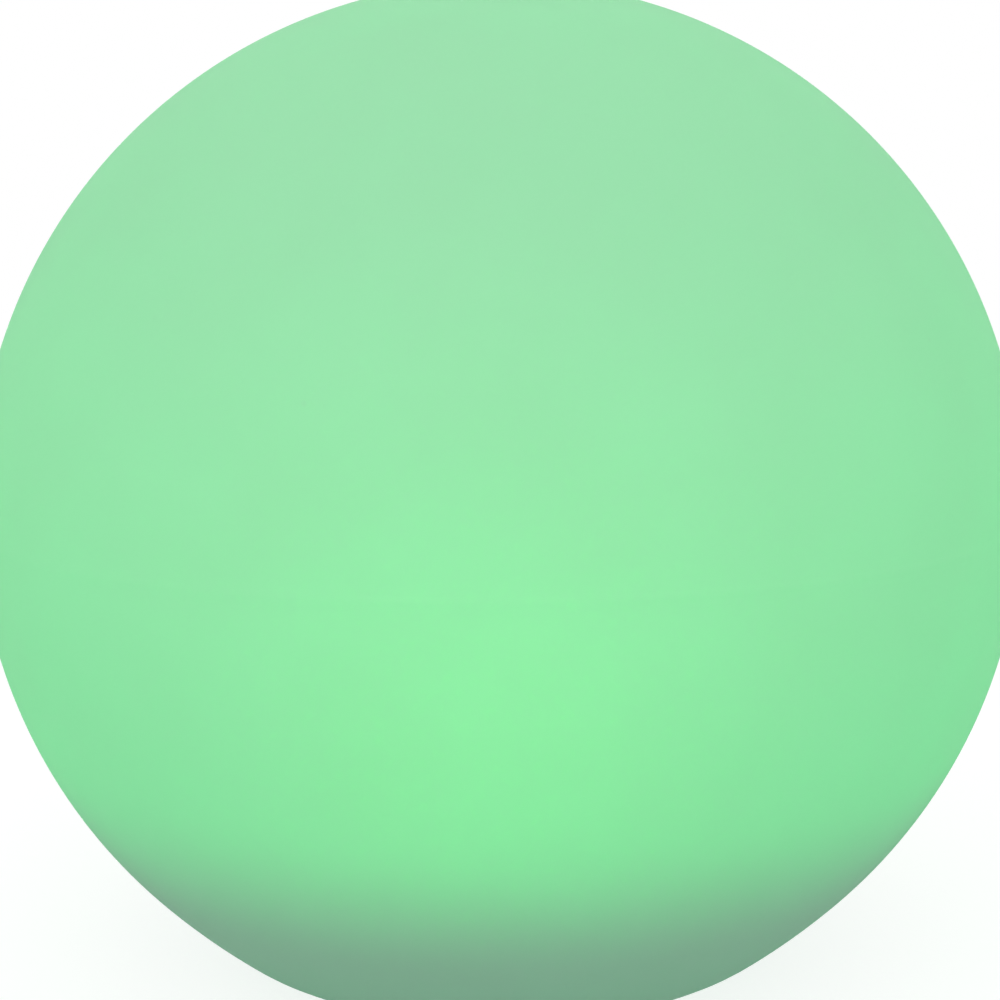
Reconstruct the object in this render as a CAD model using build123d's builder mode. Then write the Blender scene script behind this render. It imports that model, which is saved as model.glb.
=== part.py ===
from build123d import *

import os
from math import cos, radians, sin

# Rechargeable garden globe light. A hollow translucent ball stands on a flat ring foot. Its
# underside has a round mouth with a threaded collar, and a sealed light module goes up into the
# collar, a quarter turn from free to tight. The module holds the cells, the boards and the lamps
# under a frosted dome.
# Millimetres, +Z up. The origin is on the ground, under the middle of the ball. The button and
# the charging port face -Y from the middle.

# ---- driving dimensions ----

# Ball
GLOBE_R = 150.0
WALL = 3.0
FLARE_ANGLE = 45.5  # degrees up from the bottom, where the side leaves the sphere
FLARE_R = 210.0
CORNER_ANGLE = 37.5  # where the flare turns in to the foot
CORNER_R = 37.0
FOOT_PROUD = 1.5  # the rubber foot stands this far out of the ball
SEAM_HEIGHT = 0.1
SEAM_WIDTH = 0.7

# Mouth of the ball
MOUTH_R = 47.5
RECESS_R = 56.0
CEILING_Z = 16.0  # underside of the recess's ceiling
GASKET_T = 1.0

# Thread between the collar and the module: four starts, each with one short lug
STARTS = 4
LEAD = 20.0  # climb in a full turn
LUG_SPAN = 40.0  # degrees that one lug covers
LUG_ROOT = 2.0  # thickness where the lug leaves its wall
LUG_TIP = 1.4
LUG_SLACK = 0.3  # between the faces that carry the load
LUG_Z = 20.0  # low end of the collar's lugs
NECK_R = 42.0
NECK_WALL = 2.5
COLLAR_BORE_R = 44.5
COLLAR_WALL = 2.5
LUG_CLEARANCE = 0.4  # between a lug's tip and the other part's wall

# Heights in the module, from the ground
COVER_Z = 5.5
COVER_T = 3.0
FLANGE_T = 2.5
FLANGE_R = 54.0
SEAL_T = 1.5
DISH_R = 27.0
DISH_CEILING_Z = 16.5
SKIN = 2.0  # thinner moulded walls
INTERFACE_BOARD_Z = 16.0
CRADLE_Z = 19.0
CELL_Z = 31.2
BOARD_Z = 44.4
SPREADER_Z = 55.0
HEAD_Z = 57.0  # underside of the housing's top flange
RIM_Z = 61.0
DOME_FLANGE_T = 2.0
DOME_SEAL_T = 1.2
CLAMP_T = 2.5

# Radii that several parts share
BOSS_CIRCLE_R = 36.2  # screws that go into the neck's inner wall
CLAMP_CIRCLE_R = 38.0
HEAD_BORE_R = 32.5
SEAL_GROOVE_R = 34.2

# Cells
CELL_R = 9.2
CELL_PITCH = 18.6
CELL_LENGTH = 65.0

# Boards
BOARD_T = 1.6
INNER_DISC_R = 32.3  # what passes between the bosses inside the neck
LED_BOARD_R = 28.0
PAD_T = 0.5

# Button and port, on a circle in the bottom cover
PORT_ANGLE = 254.0
PORT_R = 33.6
INDICATOR_ANGLE = 275.0
BUTTON_ANGLE = 292.0
CONTROL_R = 34.2
SMALL_POST_ANGLES = (238.0, 303.5)
BUTTON_R = 4.5
BUTTON_TRAVEL = 0.5
BUTTON_PROUD = 0.5
CAP_T = 1.9

# ---- heights that follow ----


def outward(angle):
    """The direction from the ball's middle at this angle up from straight down."""
    return Vector(sin(radians(angle)), -cos(radians(angle)))


flare_middle = outward(FLARE_ANGLE) * (GLOBE_R - FLARE_R)
corner_middle = flare_middle + outward(CORNER_ANGLE) * (FLARE_R - CORNER_R)
MIDDLE_Z = FOOT_PROUD + CORNER_R - corner_middle.Y
FOOT_R = corner_middle.X  # where the flat of the foot ends

COLLAR_FLANGE_Z = CEILING_Z - GASKET_T - FLANGE_T
COLLAR_TOP_Z = 32.0
FLANGE_Z = COVER_Z + COVER_T
SEAL_Z = FLANGE_Z + FLANGE_T
NECK_BORE_R = NECK_R - NECK_WALL
DISH_TOP_Z = DISH_CEILING_Z + SKIN
SPREADER_T = HEAD_Z - SPREADER_Z
LED_BOARD_Z = HEAD_Z + PAD_T
CLAMP_Z = RIM_Z + DOME_FLANGE_T
BOARD_TOP_Z = BOARD_Z + BOARD_T
INTERFACE_TOP_Z = INTERFACE_BOARD_Z + 1.2

COVER_SCREW_ANGLES = (45, 135, 225, 315)
CRADLE_SCREW_ANGLES = (75, 255)
BOARD_SCREW_ANGLES = (30, 150, 270)
SPREADER_SCREW_ANGLES = (90, 210, 330)
CLAMP_SCREW_ANGLES = (0, 60, 120, 180, 240, 300)
COLLAR_SCREW_ANGLES = (0, 60, 120, 180, 240, 300)
COLLAR_SCREW_R = 51.5


# ---- helpers ----


def spot(radius, angle, z=0.0):
    """The point at this radius, and this angle from +X, round the upright axis."""
    return Vector(radius * cos(radians(angle)), radius * sin(radians(angle)), z)


def spots(radius, angles, z=0.0):
    """Locations at one radius and height and at several angles."""
    return [Location(spot(radius, angle, z)) for angle in angles]


def turned(radius, angle, z=0.0):
    """The same point as a location whose own X runs outward."""
    return Location(spot(radius, angle, z), (0, 0, angle))


def at_height(z):
    return Plane.XY.offset(z)


def washer(inner_r, outer_r, bottom_z, thickness, edge=0.0):
    """A flat ring, with its edges rounded if asked."""
    with BuildPart() as body:
        with BuildSketch(at_height(bottom_z)):
            Circle(outer_r)
            Circle(inner_r, mode=Mode.SUBTRACT)
        extrude(amount=thickness)
        if edge:
            fillet(body.edges().filter_by(GeomType.CIRCLE), edge)
    return body


def cross_recess(face_z, head_r, depth):
    """The cross that a driver fits, going up from a head's face at this height."""
    with BuildPart() as cross:
        with BuildSketch(at_height(face_z)):
            Rectangle(head_r * 1.15, head_r * 0.24)
            Rectangle(head_r * 0.24, head_r * 1.15)
        extrude(amount=depth)
    return cross.part


def pan_screw(shank_r, length, head_r, head_h):
    """A cross-head screw, its shank pointing up from its seat at z 0 and its head below."""
    with BuildPart() as screw:
        with BuildSketch():
            Circle(shank_r)
        extrude(amount=length)
        chamfer(screw.edges().sort_by(Axis.Z)[-1], shank_r * 0.4)
        with BuildSketch():
            Circle(head_r)
        extrude(amount=-head_h)
        fillet(screw.edges().sort_by(Axis.Z)[0], head_h * 0.45)
        add(cross_recess(-head_h, head_r, head_h * 0.7), mode=Mode.SUBTRACT)
    return screw.part


def flat_screw(shank_r, length, head_r):
    """A countersunk cross-head screw, its head's face at z 0 and its shank pointing up."""
    head_h = head_r - shank_r
    with BuildPart() as screw:
        with BuildSketch(Plane.XZ):
            with BuildLine():
                Polyline(
                    (0, 0),
                    (head_r, 0),
                    (head_r, 0.2),
                    (shank_r, head_h + 0.2),
                    (shank_r, length - 1.0),
                    (shank_r * 0.5, length),
                    (0, length),
                    close=True,
                )
            make_face()
        revolve(axis=Axis.Z)
        add(cross_recess(0, head_r, head_h * 0.7), mode=Mode.SUBTRACT)
    return screw.part


def flipped(part):
    """The same screw, driven down instead of up."""
    return part.rotate(Axis.X, 180)


def flat_hole(shank_r, depth, head_r):
    """The space that a countersunk screw takes, opening down at z 0."""
    sink = head_r - shank_r
    with BuildPart() as hole:
        with BuildSketch(Plane.XZ):
            with BuildLine():
                Polyline(
                    (0, -0.1),
                    (head_r, -0.1),
                    (head_r, 0.2),
                    (shank_r, sink + 0.2),
                    (shank_r, depth),
                    (0, depth),
                    close=True,
                )
            make_face()
        revolve(axis=Axis.Z)
    return hole.part


def pilot_hole(radius, depth):
    """A blind hole that starts at z 0 and goes up."""
    with BuildPart() as hole:
        with BuildSketch():
            Circle(radius)
        extrude(amount=depth)
    return hole.part


def thread_lugs(wall_r, reach, low_z):
    """Four short lugs on the thread, from a wall at wall_r; reach is negative on a bore."""
    root = wall_r - (0.3 if reach > 0 else -0.3)
    tip = wall_r + reach
    climb = LEAD * LUG_SPAN / 360
    with BuildPart() as lugs:
        with BuildLine() as path:
            Helix(pitch=LEAD, height=climb, radius=wall_r, center=(0, 0, low_z))
        with BuildSketch(Plane(origin=(0, 0, low_z), x_dir=(1, 0, 0), z_dir=(0, -1, 0))):
            with BuildLine():
                Polyline(
                    (root, 0),
                    (tip, (LUG_ROOT - LUG_TIP) / 2),
                    (tip, (LUG_ROOT + LUG_TIP) / 2),
                    (root, LUG_ROOT),
                    close=True,
                )
            make_face()
        sweep(path=path.line, is_frenet=True)
    one_lug = lugs.part.rotate(Axis.Z, -LUG_SPAN / 2)
    with BuildPart() as group:
        with PolarLocations(0, STARTS):
            add(one_lug)
    return group.part


def tube(points, bends, radius):
    """A wire or lead of round section through these points, with its bends rounded."""
    with BuildPart() as wire:
        with BuildLine() as route:
            FilletPolyline(*points, radius=bends)
        with BuildSketch(Plane(origin=route.line @ 0, z_dir=route.line % 0)):
            Circle(radius)
        sweep(path=route.line)
    return wire.part


# ---- the ball ----


def side_arcs(inset):
    """The ball's side in section, from its top to the flat of its foot, set in by inset."""
    flare_z = MIDDLE_Z + flare_middle.Y
    corner_z = MIDDLE_Z + corner_middle.Y
    CenterArc((0, MIDDLE_Z), GLOBE_R - inset, 90, FLARE_ANGLE - 180)
    CenterArc(
        (flare_middle.X, flare_z), FLARE_R - inset, FLARE_ANGLE - 90, CORNER_ANGLE - FLARE_ANGLE
    )
    CenterArc((corner_middle.X, corner_z), CORNER_R - inset, CORNER_ANGLE - 90, -CORNER_ANGLE)


RECESS_INNER_R = RECESS_R + WALL
CEILING_TOP_Z = CEILING_Z + WALL
FOOT_RING_IN_R = 57.8
FOOT_RING_OUT_R = 62.0
FOOT_GROOVE_DEPTH = 1.0
COLLAR_BOSS_H = 8.0

with BuildPart() as globe_shell:
    with BuildSketch(Plane.XZ) as wall_section:
        with BuildLine():
            side_arcs(0)
            Polyline(
                (FOOT_R, FOOT_PROUD),
                (RECESS_R, FOOT_PROUD),
                (RECESS_R, CEILING_Z),
                (MOUTH_R, CEILING_Z),
                (MOUTH_R, CEILING_TOP_Z),
                (RECESS_INNER_R, CEILING_TOP_Z),
                (RECESS_INNER_R, FOOT_PROUD + WALL),
                (FOOT_R, FOOT_PROUD + WALL),
            )
            side_arcs(WALL)
            Line((0, MIDDLE_Z + GLOBE_R), (0, MIDDLE_Z + GLOBE_R - WALL))
        make_face()
        corners = wall_section.vertices().filter_by_position(
            Axis.X, RECESS_R - 0.1, RECESS_INNER_R + 0.1
        )
        fillet(corners, 1.0)
        with BuildLine():
            Polyline(
                (GLOBE_R - 1, MIDDLE_Z - SEAM_WIDTH * 1.5),
                (GLOBE_R + SEAM_HEIGHT, MIDDLE_Z - SEAM_WIDTH / 2),
                (GLOBE_R + SEAM_HEIGHT, MIDDLE_Z + SEAM_WIDTH / 2),
                (GLOBE_R - 1, MIDDLE_Z + SEAM_WIDTH * 1.5),
                close=True,
            )
        make_face()
        with Locations((FOOT_RING_IN_R, FOOT_PROUD)):
            Rectangle(
                FOOT_RING_OUT_R - FOOT_RING_IN_R,
                FOOT_GROOVE_DEPTH,
                align=(Align.MIN, Align.MIN),
                mode=Mode.SUBTRACT,
            )
    revolve(axis=Axis.Z)
    with BuildSketch(at_height(CEILING_TOP_Z)):
        with Locations(spots(COLLAR_SCREW_R, COLLAR_SCREW_ANGLES)):
            Circle(4.0)
    extrude(amount=COLLAR_BOSS_H)
    with BuildSketch(at_height(CEILING_Z)):
        with Locations(spots(COLLAR_SCREW_R, COLLAR_SCREW_ANGLES)):
            Circle(1.5)
    extrude(amount=WALL + COLLAR_BOSS_H - SKIN, mode=Mode.SUBTRACT)

foot_ring = washer(
    FOOT_RING_IN_R, FOOT_RING_OUT_R, 0, FOOT_PROUD + FOOT_GROOVE_DEPTH, edge=0.4
)

# ---- the collar that the module screws into ----

with BuildPart() as mounting_ring:
    with BuildSketch(Plane.XZ):
        with BuildLine():
            Polyline(
                (COLLAR_BORE_R, COLLAR_FLANGE_Z),
                (RECESS_R - 1, COLLAR_FLANGE_Z),
                (RECESS_R - 1, COLLAR_FLANGE_Z + FLANGE_T),
                (COLLAR_BORE_R + COLLAR_WALL, COLLAR_FLANGE_Z + FLANGE_T),
                (COLLAR_BORE_R + COLLAR_WALL, COLLAR_TOP_Z),
                (COLLAR_BORE_R, COLLAR_TOP_Z),
                close=True,
            )
        make_face()
    revolve(axis=Axis.Z)
    chamfer(mounting_ring.edges().filter_by(GeomType.CIRCLE).sort_by(Axis.Z)[-2:], 0.6)
    add(thread_lugs(COLLAR_BORE_R, NECK_R + LUG_CLEARANCE - COLLAR_BORE_R, LUG_Z))
    with Locations(spots(COLLAR_SCREW_R, COLLAR_SCREW_ANGLES, COLLAR_FLANGE_Z)):
        add(flat_hole(1.6, FLANGE_T + 1, 2.9), mode=Mode.SUBTRACT)

with BuildPart() as ring_gasket:
    with BuildSketch(at_height(CEILING_Z - GASKET_T)):
        Circle(RECESS_R - 1)
        Circle(MOUTH_R + 0.3, mode=Mode.SUBTRACT)
        with Locations(spots(COLLAR_SCREW_R, COLLAR_SCREW_ANGLES)):
            Circle(1.7, mode=Mode.SUBTRACT)
    extrude(amount=GASKET_T)

with BuildPart() as ring_screws:
    with Locations(spots(COLLAR_SCREW_R, COLLAR_SCREW_ANGLES, COLLAR_FLANGE_Z)):
        add(flat_screw(1.45, 12.0, 2.8))

flange_seal = washer(NECK_R + 0.6, 48.2, SEAL_Z, SEAL_T, edge=0.3)

# ---- module housing: a tube with a flange below, four lugs and a flange at its head ----

with BuildPart() as module_housing:
    with BuildSketch(Plane.XZ):
        with BuildLine():
            Polyline(
                (NECK_BORE_R, FLANGE_Z),
                (FLANGE_R, FLANGE_Z),
                (FLANGE_R, FLANGE_Z + FLANGE_T),
                (NECK_R, FLANGE_Z + FLANGE_T),
                (NECK_R, RIM_Z),
                (HEAD_BORE_R, RIM_Z),
                (HEAD_BORE_R, HEAD_Z),
                (NECK_BORE_R, HEAD_Z),
                close=True,
            )
        make_face()
    revolve(axis=Axis.Z)
    add(
        thread_lugs(
            NECK_R,
            COLLAR_BORE_R - LUG_CLEARANCE - NECK_R,
            LUG_Z + LUG_ROOT + LUG_SLACK,
        )
    )
    # Bosses stand on the inside of the neck, each with its blind hole.
    for circle_r, angles, low_z, high_z in (
        (BOSS_CIRCLE_R, COVER_SCREW_ANGLES, FLANGE_Z, 20.0),
        (BOSS_CIRCLE_R, CRADLE_SCREW_ANGLES, CRADLE_Z + 4, 34.0),
        (BOSS_CIRCLE_R, BOARD_SCREW_ANGLES, BOARD_TOP_Z, 54.5),
    ):
        with BuildSketch(at_height(low_z)):
            with Locations(spots(circle_r, angles)):
                Circle(3.6)
        extrude(amount=high_z - low_z)
        with Locations(spots(circle_r, angles, low_z)):
            add(pilot_hole(1.4, high_z - low_z - SKIN), mode=Mode.SUBTRACT)
    with BuildSketch(at_height(HEAD_Z)):
        with Locations(spots(CLAMP_CIRCLE_R, CLAMP_SCREW_ANGLES)):
            Circle(2.9)
    extrude(amount=-7.0)
    with Locations(spots(CLAMP_CIRCLE_R, CLAMP_SCREW_ANGLES, HEAD_Z - 5)):
        add(pilot_hole(1.2, RIM_Z - HEAD_Z + 6), mode=Mode.SUBTRACT)
    with Locations(spots(BOSS_CIRCLE_R, SPREADER_SCREW_ANGLES, HEAD_Z - 1)):
        add(pilot_hole(1.2, 4.0), mode=Mode.SUBTRACT)
    # Grooves for the two seals
    with BuildSketch(at_height(FLANGE_Z)):
        Circle(46.1)
        Circle(43.9, mode=Mode.SUBTRACT)
    extrude(amount=1.2, mode=Mode.SUBTRACT)
    with BuildSketch(at_height(RIM_Z)):
        Circle(SEAL_GROOVE_R + 0.9)
        Circle(SEAL_GROOVE_R - 0.9, mode=Mode.SUBTRACT)
    extrude(amount=-DOME_SEAL_T, mode=Mode.SUBTRACT)
    fillet(
        module_housing.edges()
        .filter_by(GeomType.CIRCLE)
        .filter_by(lambda edge: abs(edge.radius - FLANGE_R) < 0.01),
        0.6,
    )

cover_seal = washer(44.1, 45.9, FLANGE_Z, 1.2, edge=0.3)

# ---- bottom cover: a disc with a grip dish, a button well and a charging port ----

BAR_WIDTH = 12.0
BAR_Z = COVER_Z + 1.0
BAR_WALL = 2.0
WELL_R = BUTTON_R + 0.3
WELL_DEPTH = CAP_T - BUTTON_PROUD + BUTTON_TRAVEL + 0.2
STEM_R = 1.8
STEM_HOLE_R = 1.88
STEM_PLATE_TOP_Z = 9.6
FLAP_LENGTH = 17.0
FLAP_GAP = 0.3
FLAP_INNER = -4.7  # from the port's middle, towards the dish
HINGE_OUT = 5.4  # from the port's middle to the flap's hinge pin
HINGE_Z = 6.6
FLAP_T = 1.4
FLAP_Z = COVER_Z + 0.1
SLOT_LENGTH = 12.6
SLOT_WIDTH = 7.0
PORT_COLLAR_TOP_Z = 10.5
SOCKET_LENGTH = 8.94
SOCKET_WIDTH = 3.26
SOCKET_WALL = 0.35
GASKET_FIT = 0.5
PIN_R = 0.5
BARREL_R = 0.95
PORT_PLANE = Plane(origin=spot(PORT_R, PORT_ANGLE), x_dir=spot(1, PORT_ANGLE), z_dir=(0, 0, 1))


def port_level(z):
    """The port's own plane at this height: its X runs outward and its Y along the hinge."""
    return PORT_PLANE.offset(z)


def hinge_rod(radius, length):
    """A rod along the flap's hinge line."""
    axis_plane = Plane(
        origin=spot(PORT_R + HINGE_OUT, PORT_ANGLE, HINGE_Z),
        x_dir=(0, 0, 1),
        z_dir=spot(1, PORT_ANGLE + 90),
    )
    with BuildPart() as rod:
        with BuildSketch(axis_plane):
            Circle(radius)
        extrude(amount=length / 2, both=True)
    return rod.part


with BuildPart() as base_cover:
    with BuildSketch(Plane.XZ) as cover_section:
        with BuildLine():
            Polyline(
                (DISH_R, COVER_Z),
                (FLANGE_R, COVER_Z),
                (FLANGE_R, FLANGE_Z),
                (DISH_R + SKIN, FLANGE_Z),
                (DISH_R + SKIN, DISH_TOP_Z),
                (0, DISH_TOP_Z),
                (0, DISH_CEILING_Z),
                (DISH_R, DISH_CEILING_Z),
                close=True,
            )
        make_face()
        lower_corners = (
            cover_section.vertices().filter_by_position(Axis.Y, COVER_Z - 0.1, COVER_Z + 0.1)
        )
        fillet(lower_corners, 0.9)
    revolve(axis=Axis.Z)
    # The grip bar crosses the dish, and is hollow from above.
    with BuildSketch(at_height(BAR_Z)):
        Rectangle(2 * DISH_R + SKIN, BAR_WIDTH)
    extrude(amount=DISH_CEILING_Z - BAR_Z)
    with BuildSketch(at_height(DISH_TOP_Z)):
        RectangleRounded(2 * DISH_R - 2 * BAR_WALL, BAR_WIDTH - 2 * BAR_WALL, 2.0)
    extrude(amount=BAR_Z + BAR_WALL - DISH_TOP_Z, mode=Mode.SUBTRACT)
    bar_edges = (
        base_cover.edges()
        .filter_by(Axis.X)
        .filter_by_position(Axis.Z, BAR_Z - 0.1, BAR_Z + 0.1)
    )
    fillet(bar_edges, 1.5)
    with Locations(spots(BOSS_CIRCLE_R, COVER_SCREW_ANGLES, COVER_Z)):
        add(flat_hole(1.6, COVER_T + 1, 2.9), mode=Mode.SUBTRACT)
    # Button well, with a thick bush round the stem
    with BuildSketch(at_height(COVER_Z)):
        with Locations(spot(CONTROL_R, BUTTON_ANGLE)):
            Circle(WELL_R + 0.3)
    extrude(amount=STEM_PLATE_TOP_Z - COVER_Z)
    with BuildSketch(at_height(COVER_Z)):
        with Locations(spot(CONTROL_R, BUTTON_ANGLE)):
            Circle(WELL_R)
    extrude(amount=WELL_DEPTH, mode=Mode.SUBTRACT)
    with BuildSketch(at_height(COVER_Z)):
        with Locations(spot(CONTROL_R, BUTTON_ANGLE)):
            Circle(STEM_HOLE_R)
        with Locations(spot(CONTROL_R, INDICATOR_ANGLE)):
            Circle(1.5)
    extrude(amount=STEM_PLATE_TOP_Z - COVER_Z, mode=Mode.SUBTRACT)
    # Charging port: a collar round the socket, a slot for the plug and a recess for the flap
    with BuildSketch(port_level(FLANGE_Z)):
        Rectangle(SLOT_WIDTH + 2.0, SLOT_LENGTH + 2.0)
    extrude(amount=PORT_COLLAR_TOP_Z - FLANGE_Z)
    with BuildSketch(port_level(COVER_Z)):
        RectangleRounded(SLOT_WIDTH, SLOT_LENGTH, 2.4)
    extrude(amount=COVER_T, mode=Mode.SUBTRACT)
    with BuildSketch(port_level(FLANGE_Z)):
        RectangleRounded(SOCKET_WIDTH + 2 * GASKET_FIT, SOCKET_LENGTH + 2 * GASKET_FIT, 2.0)
    extrude(amount=PORT_COLLAR_TOP_Z - FLANGE_Z, mode=Mode.SUBTRACT)
    with BuildSketch(port_level(COVER_Z)):
        with Locations(((FLAP_INNER - FLAP_GAP + HINGE_OUT + 1.6) / 2, 0)):
            Rectangle(HINGE_OUT + 1.6 - FLAP_INNER + FLAP_GAP, FLAP_LENGTH + 2 * FLAP_GAP)
    extrude(amount=FLAP_T + 0.4, mode=Mode.SUBTRACT)
    with BuildSketch(port_level(COVER_Z)):
        with Locations((HINGE_OUT, 0)):
            Rectangle(2 * (BARREL_R + 0.2), FLAP_LENGTH + 2 * FLAP_GAP)
    extrude(amount=HINGE_Z + BARREL_R + 0.2 - COVER_Z, mode=Mode.SUBTRACT)
    add(hinge_rod(PIN_R + 0.02, FLAP_LENGTH + 4.2), mode=Mode.SUBTRACT)
    # A thumb nick at the flap's free edge
    with BuildSketch(port_level(COVER_Z)):
        with Locations((FLAP_INNER, 0)):
            Circle(3.0)
    extrude(amount=FLAP_T + 0.4, mode=Mode.SUBTRACT)
    # Posts under the small board
    with BuildSketch(at_height(FLANGE_Z)):
        with Locations(spots(CONTROL_R, SMALL_POST_ANGLES)):
            Circle(2.4)
    extrude(amount=INTERFACE_BOARD_Z - FLANGE_Z)
    with BuildSketch(at_height(INTERFACE_BOARD_Z)):
        with Locations(spots(CONTROL_R, SMALL_POST_ANGLES)):
            Circle(1.0)
    extrude(amount=-5.5, mode=Mode.SUBTRACT)

with BuildPart() as cover_screws:
    with Locations(spots(BOSS_CIRCLE_R, COVER_SCREW_ANGLES, COVER_Z)):
        add(flat_screw(1.35, 12.0, 2.8))

# ---- power button, in its own body ----

BUTTON_Z = COVER_Z - BUTTON_PROUD
RING_GROOVE_Z = 8.0
RING_T = 0.7
CLIP_Z = STEM_PLATE_TOP_Z + 0.05
CLIP_T = 0.5
GROOVE_R = STEM_R - 0.5
PLUNGER_Z = 11.0
SWITCH_Z = 12.6
SWITCH_SIDE = 6.2
PLUNGER_R = 1.5
BUTTON_PLANE = Plane(origin=spot(CONTROL_R, BUTTON_ANGLE), x_dir=spot(1, BUTTON_ANGLE))


def button_level(z):
    """The button's own plane at this height: its X runs outward."""
    return BUTTON_PLANE.offset(z)


with BuildPart() as power_button:
    with BuildSketch(button_level(BUTTON_Z)):
        Circle(BUTTON_R)
    extrude(amount=CAP_T)
    fillet(power_button.edges().sort_by(Axis.Z)[0], 0.6)
    with BuildSketch(button_level(BUTTON_Z + CAP_T)):
        Circle(STEM_R)
    extrude(amount=PLUNGER_Z - BUTTON_Z - CAP_T)
    for groove_z, groove_h in ((RING_GROOVE_Z, RING_T), (CLIP_Z, CLIP_T)):
        with BuildSketch(button_level(groove_z)):
            Circle(STEM_R + 1)
            Circle(GROOVE_R, mode=Mode.SUBTRACT)
        extrude(amount=groove_h, mode=Mode.SUBTRACT)
    # The plain on-and-off sign, sunk in the cap
    with BuildSketch(button_level(BUTTON_Z)):
        Circle(2.1)
        Circle(1.7, mode=Mode.SUBTRACT)
        with Locations((1.9, 0)):
            Rectangle(1.2, 1.5, mode=Mode.SUBTRACT)
        with Locations((1.7, 0)):
            Rectangle(1.8, 0.45)
    extrude(amount=0.25, mode=Mode.SUBTRACT)

with BuildPart() as button_ring:
    with BuildSketch(button_level(RING_GROOVE_Z)):
        Circle(STEM_HOLE_R - 0.02)
        Circle(GROOVE_R, mode=Mode.SUBTRACT)
    extrude(amount=RING_T)

with BuildPart() as button_clip:
    with BuildSketch(button_level(CLIP_Z)):
        Circle(3.0)
        Circle(GROOVE_R, mode=Mode.SUBTRACT)
        with Locations((2.0, 0)):
            Rectangle(4.0, 1.8, mode=Mode.SUBTRACT)
    extrude(amount=CLIP_T)

with BuildPart() as switch_plunger:
    with BuildSketch(button_level(PLUNGER_Z)):
        Circle(PLUNGER_R)
    extrude(amount=2.2)

with BuildPart() as tact_switch:
    with BuildSketch(button_level(SWITCH_Z)):
        RectangleRounded(SWITCH_SIDE, SWITCH_SIDE, 0.5)
    extrude(amount=INTERFACE_BOARD_Z - SWITCH_Z)
    with BuildSketch(button_level(SWITCH_Z)):
        Circle(PLUNGER_R + 0.1)
    extrude(amount=2.2, mode=Mode.SUBTRACT)

# ---- charging port ----

with BuildPart() as port_cover:
    with BuildSketch(port_level(FLAP_Z)):
        with Locations(((FLAP_INNER + HINGE_OUT) / 2, 0)):
            Rectangle(HINGE_OUT - FLAP_INNER, FLAP_LENGTH)
    extrude(amount=FLAP_T)
    fillet(port_cover.edges().filter_by(Axis.Z).group_by(Axis.Y)[-1], 1.2)
    add(hinge_rod(BARREL_R, FLAP_LENGTH))
    add(hinge_rod(PIN_R + 0.04, FLAP_LENGTH + 1), mode=Mode.SUBTRACT)

with BuildPart() as port_plug:
    with BuildSketch(port_level(FLAP_Z + FLAP_T)):
        RectangleRounded(SLOT_WIDTH - 0.8, SLOT_LENGTH - 0.8, 2.0)
    extrude(amount=1.3)
    fillet(port_plug.edges().group_by(Axis.Z)[-1], 0.4)

with BuildPart() as port_hinge_pin:
    add(hinge_rod(PIN_R, FLAP_LENGTH + 4))

with BuildPart() as charge_socket:
    with BuildSketch(port_level(FLANGE_Z)):
        RectangleRounded(SOCKET_WIDTH, SOCKET_LENGTH, 1.5)
    extrude(amount=INTERFACE_BOARD_Z - FLANGE_Z)
    with BuildSketch(port_level(FLANGE_Z)):
        RectangleRounded(
            SOCKET_WIDTH - 2 * SOCKET_WALL, SOCKET_LENGTH - 2 * SOCKET_WALL, 1.5 - SOCKET_WALL
        )
    extrude(amount=INTERFACE_BOARD_Z - FLANGE_Z - 0.5, mode=Mode.SUBTRACT)

with BuildPart() as socket_tongue:
    with BuildSketch(port_level(FLANGE_Z + 0.8)):
        Rectangle(0.7, 6.6)
    extrude(amount=INTERFACE_BOARD_Z - FLANGE_Z - 1.3)
    with BuildSketch(port_level(INTERFACE_BOARD_Z - 0.5)):
        RectangleRounded(2.3, 8.0, 1.0)
    extrude(amount=-1.5)

with BuildPart() as port_gasket:
    with BuildSketch(port_level(FLANGE_Z)):
        RectangleRounded(
            SOCKET_WIDTH + 2 * GASKET_FIT - 0.04, SOCKET_LENGTH + 2 * GASKET_FIT - 0.04, 1.98
        )
        RectangleRounded(
            SOCKET_WIDTH + 0.04, SOCKET_LENGTH + 0.04, 1.52, mode=Mode.SUBTRACT
        )
    extrude(amount=PORT_COLLAR_TOP_Z - FLANGE_Z)

# ---- small board behind the button and the port ----

INDICATOR_PLANE = Plane(origin=spot(CONTROL_R, INDICATOR_ANGLE), x_dir=spot(1, INDICATOR_ANGLE))
SMALL_BOARD_FROM = 233.0
SMALL_BOARD_SPAN = 75.0

with BuildPart() as interface_board:
    with BuildSketch(at_height(INTERFACE_BOARD_Z)):
        with BuildLine():
            inner_edge = CenterArc((0, 0), 30.0, SMALL_BOARD_FROM, SMALL_BOARD_SPAN)
            outer_edge = CenterArc((0, 0), 38.6, SMALL_BOARD_FROM, SMALL_BOARD_SPAN)
            Line(inner_edge @ 0, outer_edge @ 0)
            Line(inner_edge @ 1, outer_edge @ 1)
        make_face()
        with Locations(spots(CONTROL_R, SMALL_POST_ANGLES)):
            Circle(1.2, mode=Mode.SUBTRACT)
    extrude(amount=INTERFACE_TOP_Z - INTERFACE_BOARD_Z)

with BuildPart() as interface_screws:
    with Locations(spots(CONTROL_R, SMALL_POST_ANGLES, INTERFACE_TOP_Z)):
        add(flipped(pan_screw(0.95, 5.5, 1.9, 1.2)))

with BuildPart() as indicator_lens:
    with BuildSketch(INDICATOR_PLANE.offset(COVER_Z)):
        Circle(1.45)
    extrude(amount=9.3)
    with BuildSketch(INDICATOR_PLANE.offset(FLANGE_Z)):
        Circle(2.2)
    extrude(amount=0.8)

with BuildPart() as indicator_led:
    with BuildSketch(INDICATOR_PLANE.offset(INTERFACE_BOARD_Z)):
        Rectangle(1.6, 2.0)
    extrude(amount=-0.8)

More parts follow.
